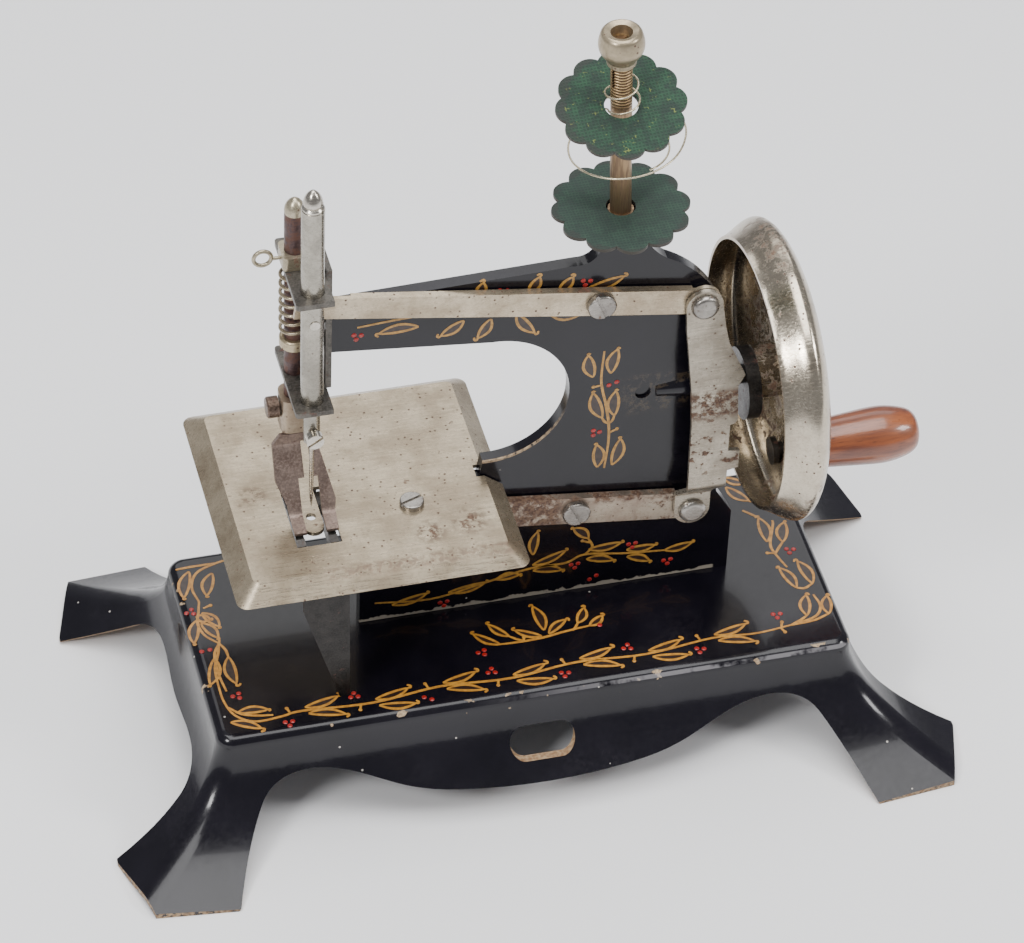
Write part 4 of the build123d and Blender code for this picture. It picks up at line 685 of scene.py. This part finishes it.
def right_border(sprigs):
    sprigs.leaf((65.2, -10.4), (63.2, -3.4), 2.8, 1, 0.6)
    sprigs.leaf((69.2, -9.8), (67.9, -2.2), 3.2, 1, 0.8)
    sprigs.stem((65.2, -10.4), (67.0, -10.9), (69.2, -9.8))
    sprigs.stem((65.0, -3.6), (63.6, 1.2), (63.4, 4.6), (65.8, 10.6), (66.0, 12.0))
    sprigs.leaf((62.9, 5.4), (63.2, 13.4), 3.2, 1, 0.7)
    sprigs.leaf((66.4, 4.6), (68.6, 10.8), 3.2, -1, 0.4)
    sprigs.stem((63.6, 1.2), (64.8, 2.8), (66.4, 4.6))
    sprigs.stem((63.2, 13.4), (61.6, 15.2), (60.2, 16.6))
    sprigs.bud((63.6, 1.4), (61.9, 1.9))
    sprigs.berries((67.2, 1.6), 3, 0.2)
    sprigs.leaf((58.6, 24.9), (62.6, 19.4), 3.0, 1, 0.5)
    sprigs.leaf((59.0, 28.0), (63.2, 25.2), 2.4, 1, 0.0)


def centre_sprig(sprigs):
    sprigs.stem((-5.2, -13.4), (-0.8, -13.6), (4.8, -13.4), (10.0, -12.6), (16.0, -12.0))
    for foot, tip, width, curl in (
        ((-5.2, -13.4), (-10.3, -9.0), 2.2, -1),
        ((-2.6, -11.4), (-6.3, -6.8), 2.1, -1),
        ((4.6, -12.9), (-0.9, -9.8), 2.0, -1),
        ((5.6, -11.2), (4.9, -3.4), 3.0, 1),
        ((6.4, -12.5), (11.2, -9.0), 2.2, -1),
        ((13.6, -10.6), (16.2, -6.3), 2.6, 1),
        ((16.0, -12.0), (19.6, -9.6), 2.2, 1),
    ):
        sprigs.leaf(foot, tip, width, curl, 0.7)
    sprigs.stem((0.8, -13.6), (-0.9, -12.8), (-2.6, -11.4))
    sprigs.stem((11.8, -12.6), (12.6, -12.0), (13.6, -10.6))
    sprigs.bud((0.2, -13.6), (0.6, -12.4))
    sprigs.berries((-9.7, -15.0), 3, 0.9)
    sprigs.berries((17.3, -12.3), 1)


def pedestal_sprig(sprigs):
    """The vine along the arm's foot, under the lower lever."""
    left_half = [(-31.0, 33.0), (-18.0, 31.6), (-6.0, 34.0), (4.8, 36.4)]
    sprigs.stem(*left_half, (13.0, 36.4), (17.6, 38.2), (27.0, 36.6), (36.4, 35.6))
    for foot, tip, curl in (
        ((-27.0, 31.6), (-19.0, 33.6), 1),
        ((-14.0, 32.8), (-5.4, 34.2), 1),
        ((-3.0, 34.6), (2.4, 35.0), -1),
        ((5.4, 37.4), (13.0, 40.4), 1),
        ((5.6, 35.6), (12.4, 34.4), -1),
        ((18.4, 39.6), (26.0, 40.2), 1),
        ((18.0, 36.6), (24.4, 35.0), -1),
        ((27.4, 37.6), (34.0, 37.8), 1),
        ((27.6, 35.4), (33.0, 33.0), -1),
        ((36.4, 35.6), (42.8, 36.8), 1),
    ):
        sprigs.leaf(foot, tip, 2.4, curl, 0.6)
    sprigs.leaf((5.4, 40.6), (6.2, 47.6), 2.6, -1, 0.5)
    sprigs.stem((17.6, 38.2), (19.2, 40.4), (18.0, 43.4))
    sprigs.leaf((18.2, 43.2), (14.6, 47.0), 2.8, 1, 0.5)
    sprigs.bud((18.8, 41.6), (16.8, 42.6))
    bunches = [((15.3, 35.2), 3), ((28.6, 38.9), 3), ((19.8, 30.4), 2)]
    bunches += [((37.2, 32.0), 3), ((-15.0, 29.6), 3)]
    for centre, count in bunches:
        sprigs.berries(centre, count, 0.6)


def column_sprig(sprigs):
    """The upright vine on the column, from under the lever's screw down to the brown band."""
    sprigs.stem((19.2, 99.6), (18.9, 91.0), (20.2, 84.0), (21.2, 77.8), (21.4, 72.0), (20.8, 64.4))
    for foot, tip, curl in (
        ((19.6, 79.8), (17.2, 87.6), -1),
        ((22.4, 80.0), (22.4, 87.2), -1),
        ((19.2, 65.0), (18.8, 71.8), 1),
        ((22.6, 65.0), (24.2, 72.6), 1),
        ((17.0, 92.4), (15.6, 99.0), -1),
        ((21.0, 92.8), (22.2, 99.6), -1),
    ):
        sprigs.leaf(foot, tip, 3.3, curl, 0.5)
    sprigs.stem((21.2, 77.8), (20.2, 78.6), (19.6, 79.8))
    sprigs.stem((21.2, 77.8), (22.0, 78.6), (22.4, 80.0))
    sprigs.bud((21.4, 75.0), (23.2, 75.8))
    sprigs.bud((19.0, 89.6), (17.2, 89.4))
    sprigs.berries((18.3, 75.6), 3, 0.0)
    sprigs.berries((21.6, 89.6), 2, 0.4)


def arm_vine(sprigs):
    """The vine along the arm, half hidden by the upper lever."""
    sprigs.stem((-36.0, 116.8), (-24.0, 117.6), (-12.0, 117.4), (0.0, 117.6), (11.0, 116.6))
    for foot, tip, curl in (
        ((-22.6, 114.6), (-31.2, 114.2), 1),
        ((-12.6, 114.4), (-17.6, 111.0), -1),
        ((-6.6, 113.8), (-9.4, 108.8), -1),
        ((-1.0, 114.2), (3.2, 108.0), 1),
        ((13.0, 111.2), (6.4, 112.8), -1),
        ((-10.0, 120.4), (-8.6, 124.4), 1),
        ((1.4, 119.6), (3.8, 123.8), 1),
        ((8.2, 119.0), (11.2, 122.4), 1),
        ((14.4, 118.4), (22.6, 120.6), 1),
    ):
        sprigs.leaf(foot, tip, 2.8, curl, 0.8)
    for centre in ((-36.0, 114.2), (-4.2, 121.0), (14.2, 120.4)):
        sprigs.berries(centre, 3, 0.3)


plateau = Sprigs("plateau", on_plateau, gold)
for draw in (front_border, left_border, right_border, centre_sprig):
    draw(plateau)
plateau.lay()
arm_face = Sprigs("arm", on_arm, pale_gold)
for draw in (pedestal_sprig, column_sprig, arm_vine):
    draw(arm_face)
arm_face.lay()

# ------------------------------------------------------------------ camera
azimuth, elevation, roll = math.radians(-16.09), math.radians(43.42), math.radians(2.63)
level = math.cos(elevation)
back = Vector((math.sin(azimuth) * level, -math.cos(azimuth) * level, math.sin(elevation)))
right = Vector((math.cos(azimuth), math.sin(azimuth), 0))
up = back.cross(right)
turned_right = right * math.cos(roll) + up * math.sin(roll)
turned_up = up * math.cos(roll) - right * math.sin(roll)
camera_data = bpy.data.cameras.new("camera")
camera_data.lens = 170.0
camera_data.sensor_width = 36.0
camera_data.clip_end = 10
camera = bpy.data.objects.new("camera", camera_data)
turn = Matrix((turned_right, turned_up, back)).transposed().to_4x4()
camera.matrix_world = Matrix.Translation((-0.2152, -0.7447, 0.8010)) @ turn
bpy.context.scene.collection.objects.link(camera)
bpy.context.scene.camera = camera

# ------------------------------------------------------------------ floor and light
mesh = bpy.data.meshes.new("floor")
mesh.from_pydata([(-3, -3, 0), (3, -3, 0), (3, 3, 0), (-3, 3, 0)], [], [(0, 1, 2, 3)])
floor = bpy.data.objects.new("floor", mesh)
bpy.context.scene.collection.objects.link(floor)
paper = bpy.data.materials.new("paper")
paper.use_nodes = True
paper.node_tree.nodes["Principled BSDF"].inputs["Base Color"].default_value = (0.93, 0.93, 0.94, 1)
paper.node_tree.nodes["Principled BSDF"].inputs["Roughness"].default_value = 0.8
mesh.materials.append(paper)

world = bpy.data.worlds.new("world")
world.use_nodes = True
world.node_tree.nodes["Background"].inputs[0].default_value = (0.92, 0.94, 1.0, 1)
world.node_tree.nodes["Background"].inputs[1].default_value = 0.30
bpy.context.scene.world = world


def area(name, where, size, watts, colour=(1, 1, 1)):
    data = bpy.data.lights.new(name, "AREA")
    data.shape = "RECTANGLE"
    data.size, data.size_y = size
    data.energy = watts
    data.color = colour
    lamp = bpy.data.objects.new(name, data)
    lamp.location = where
    lamp.rotation_euler = (Vector((0, 0, 0.08)) - Vector(where)).to_track_quat("-Z", "Y").to_euler()
    bpy.context.scene.collection.objects.link(lamp)


area("ceiling", (0.0, -0.05, 1.2), (1.0, 1.0), 17)
area("key", (-0.7, -0.5, 0.8), (0.25, 0.25), 6)
area("fill", (0.8, -0.4, 0.7), (0.25, 0.25), 4)
area("back", (0.2, 1.0, 0.9), (1.2, 0.5), 4)
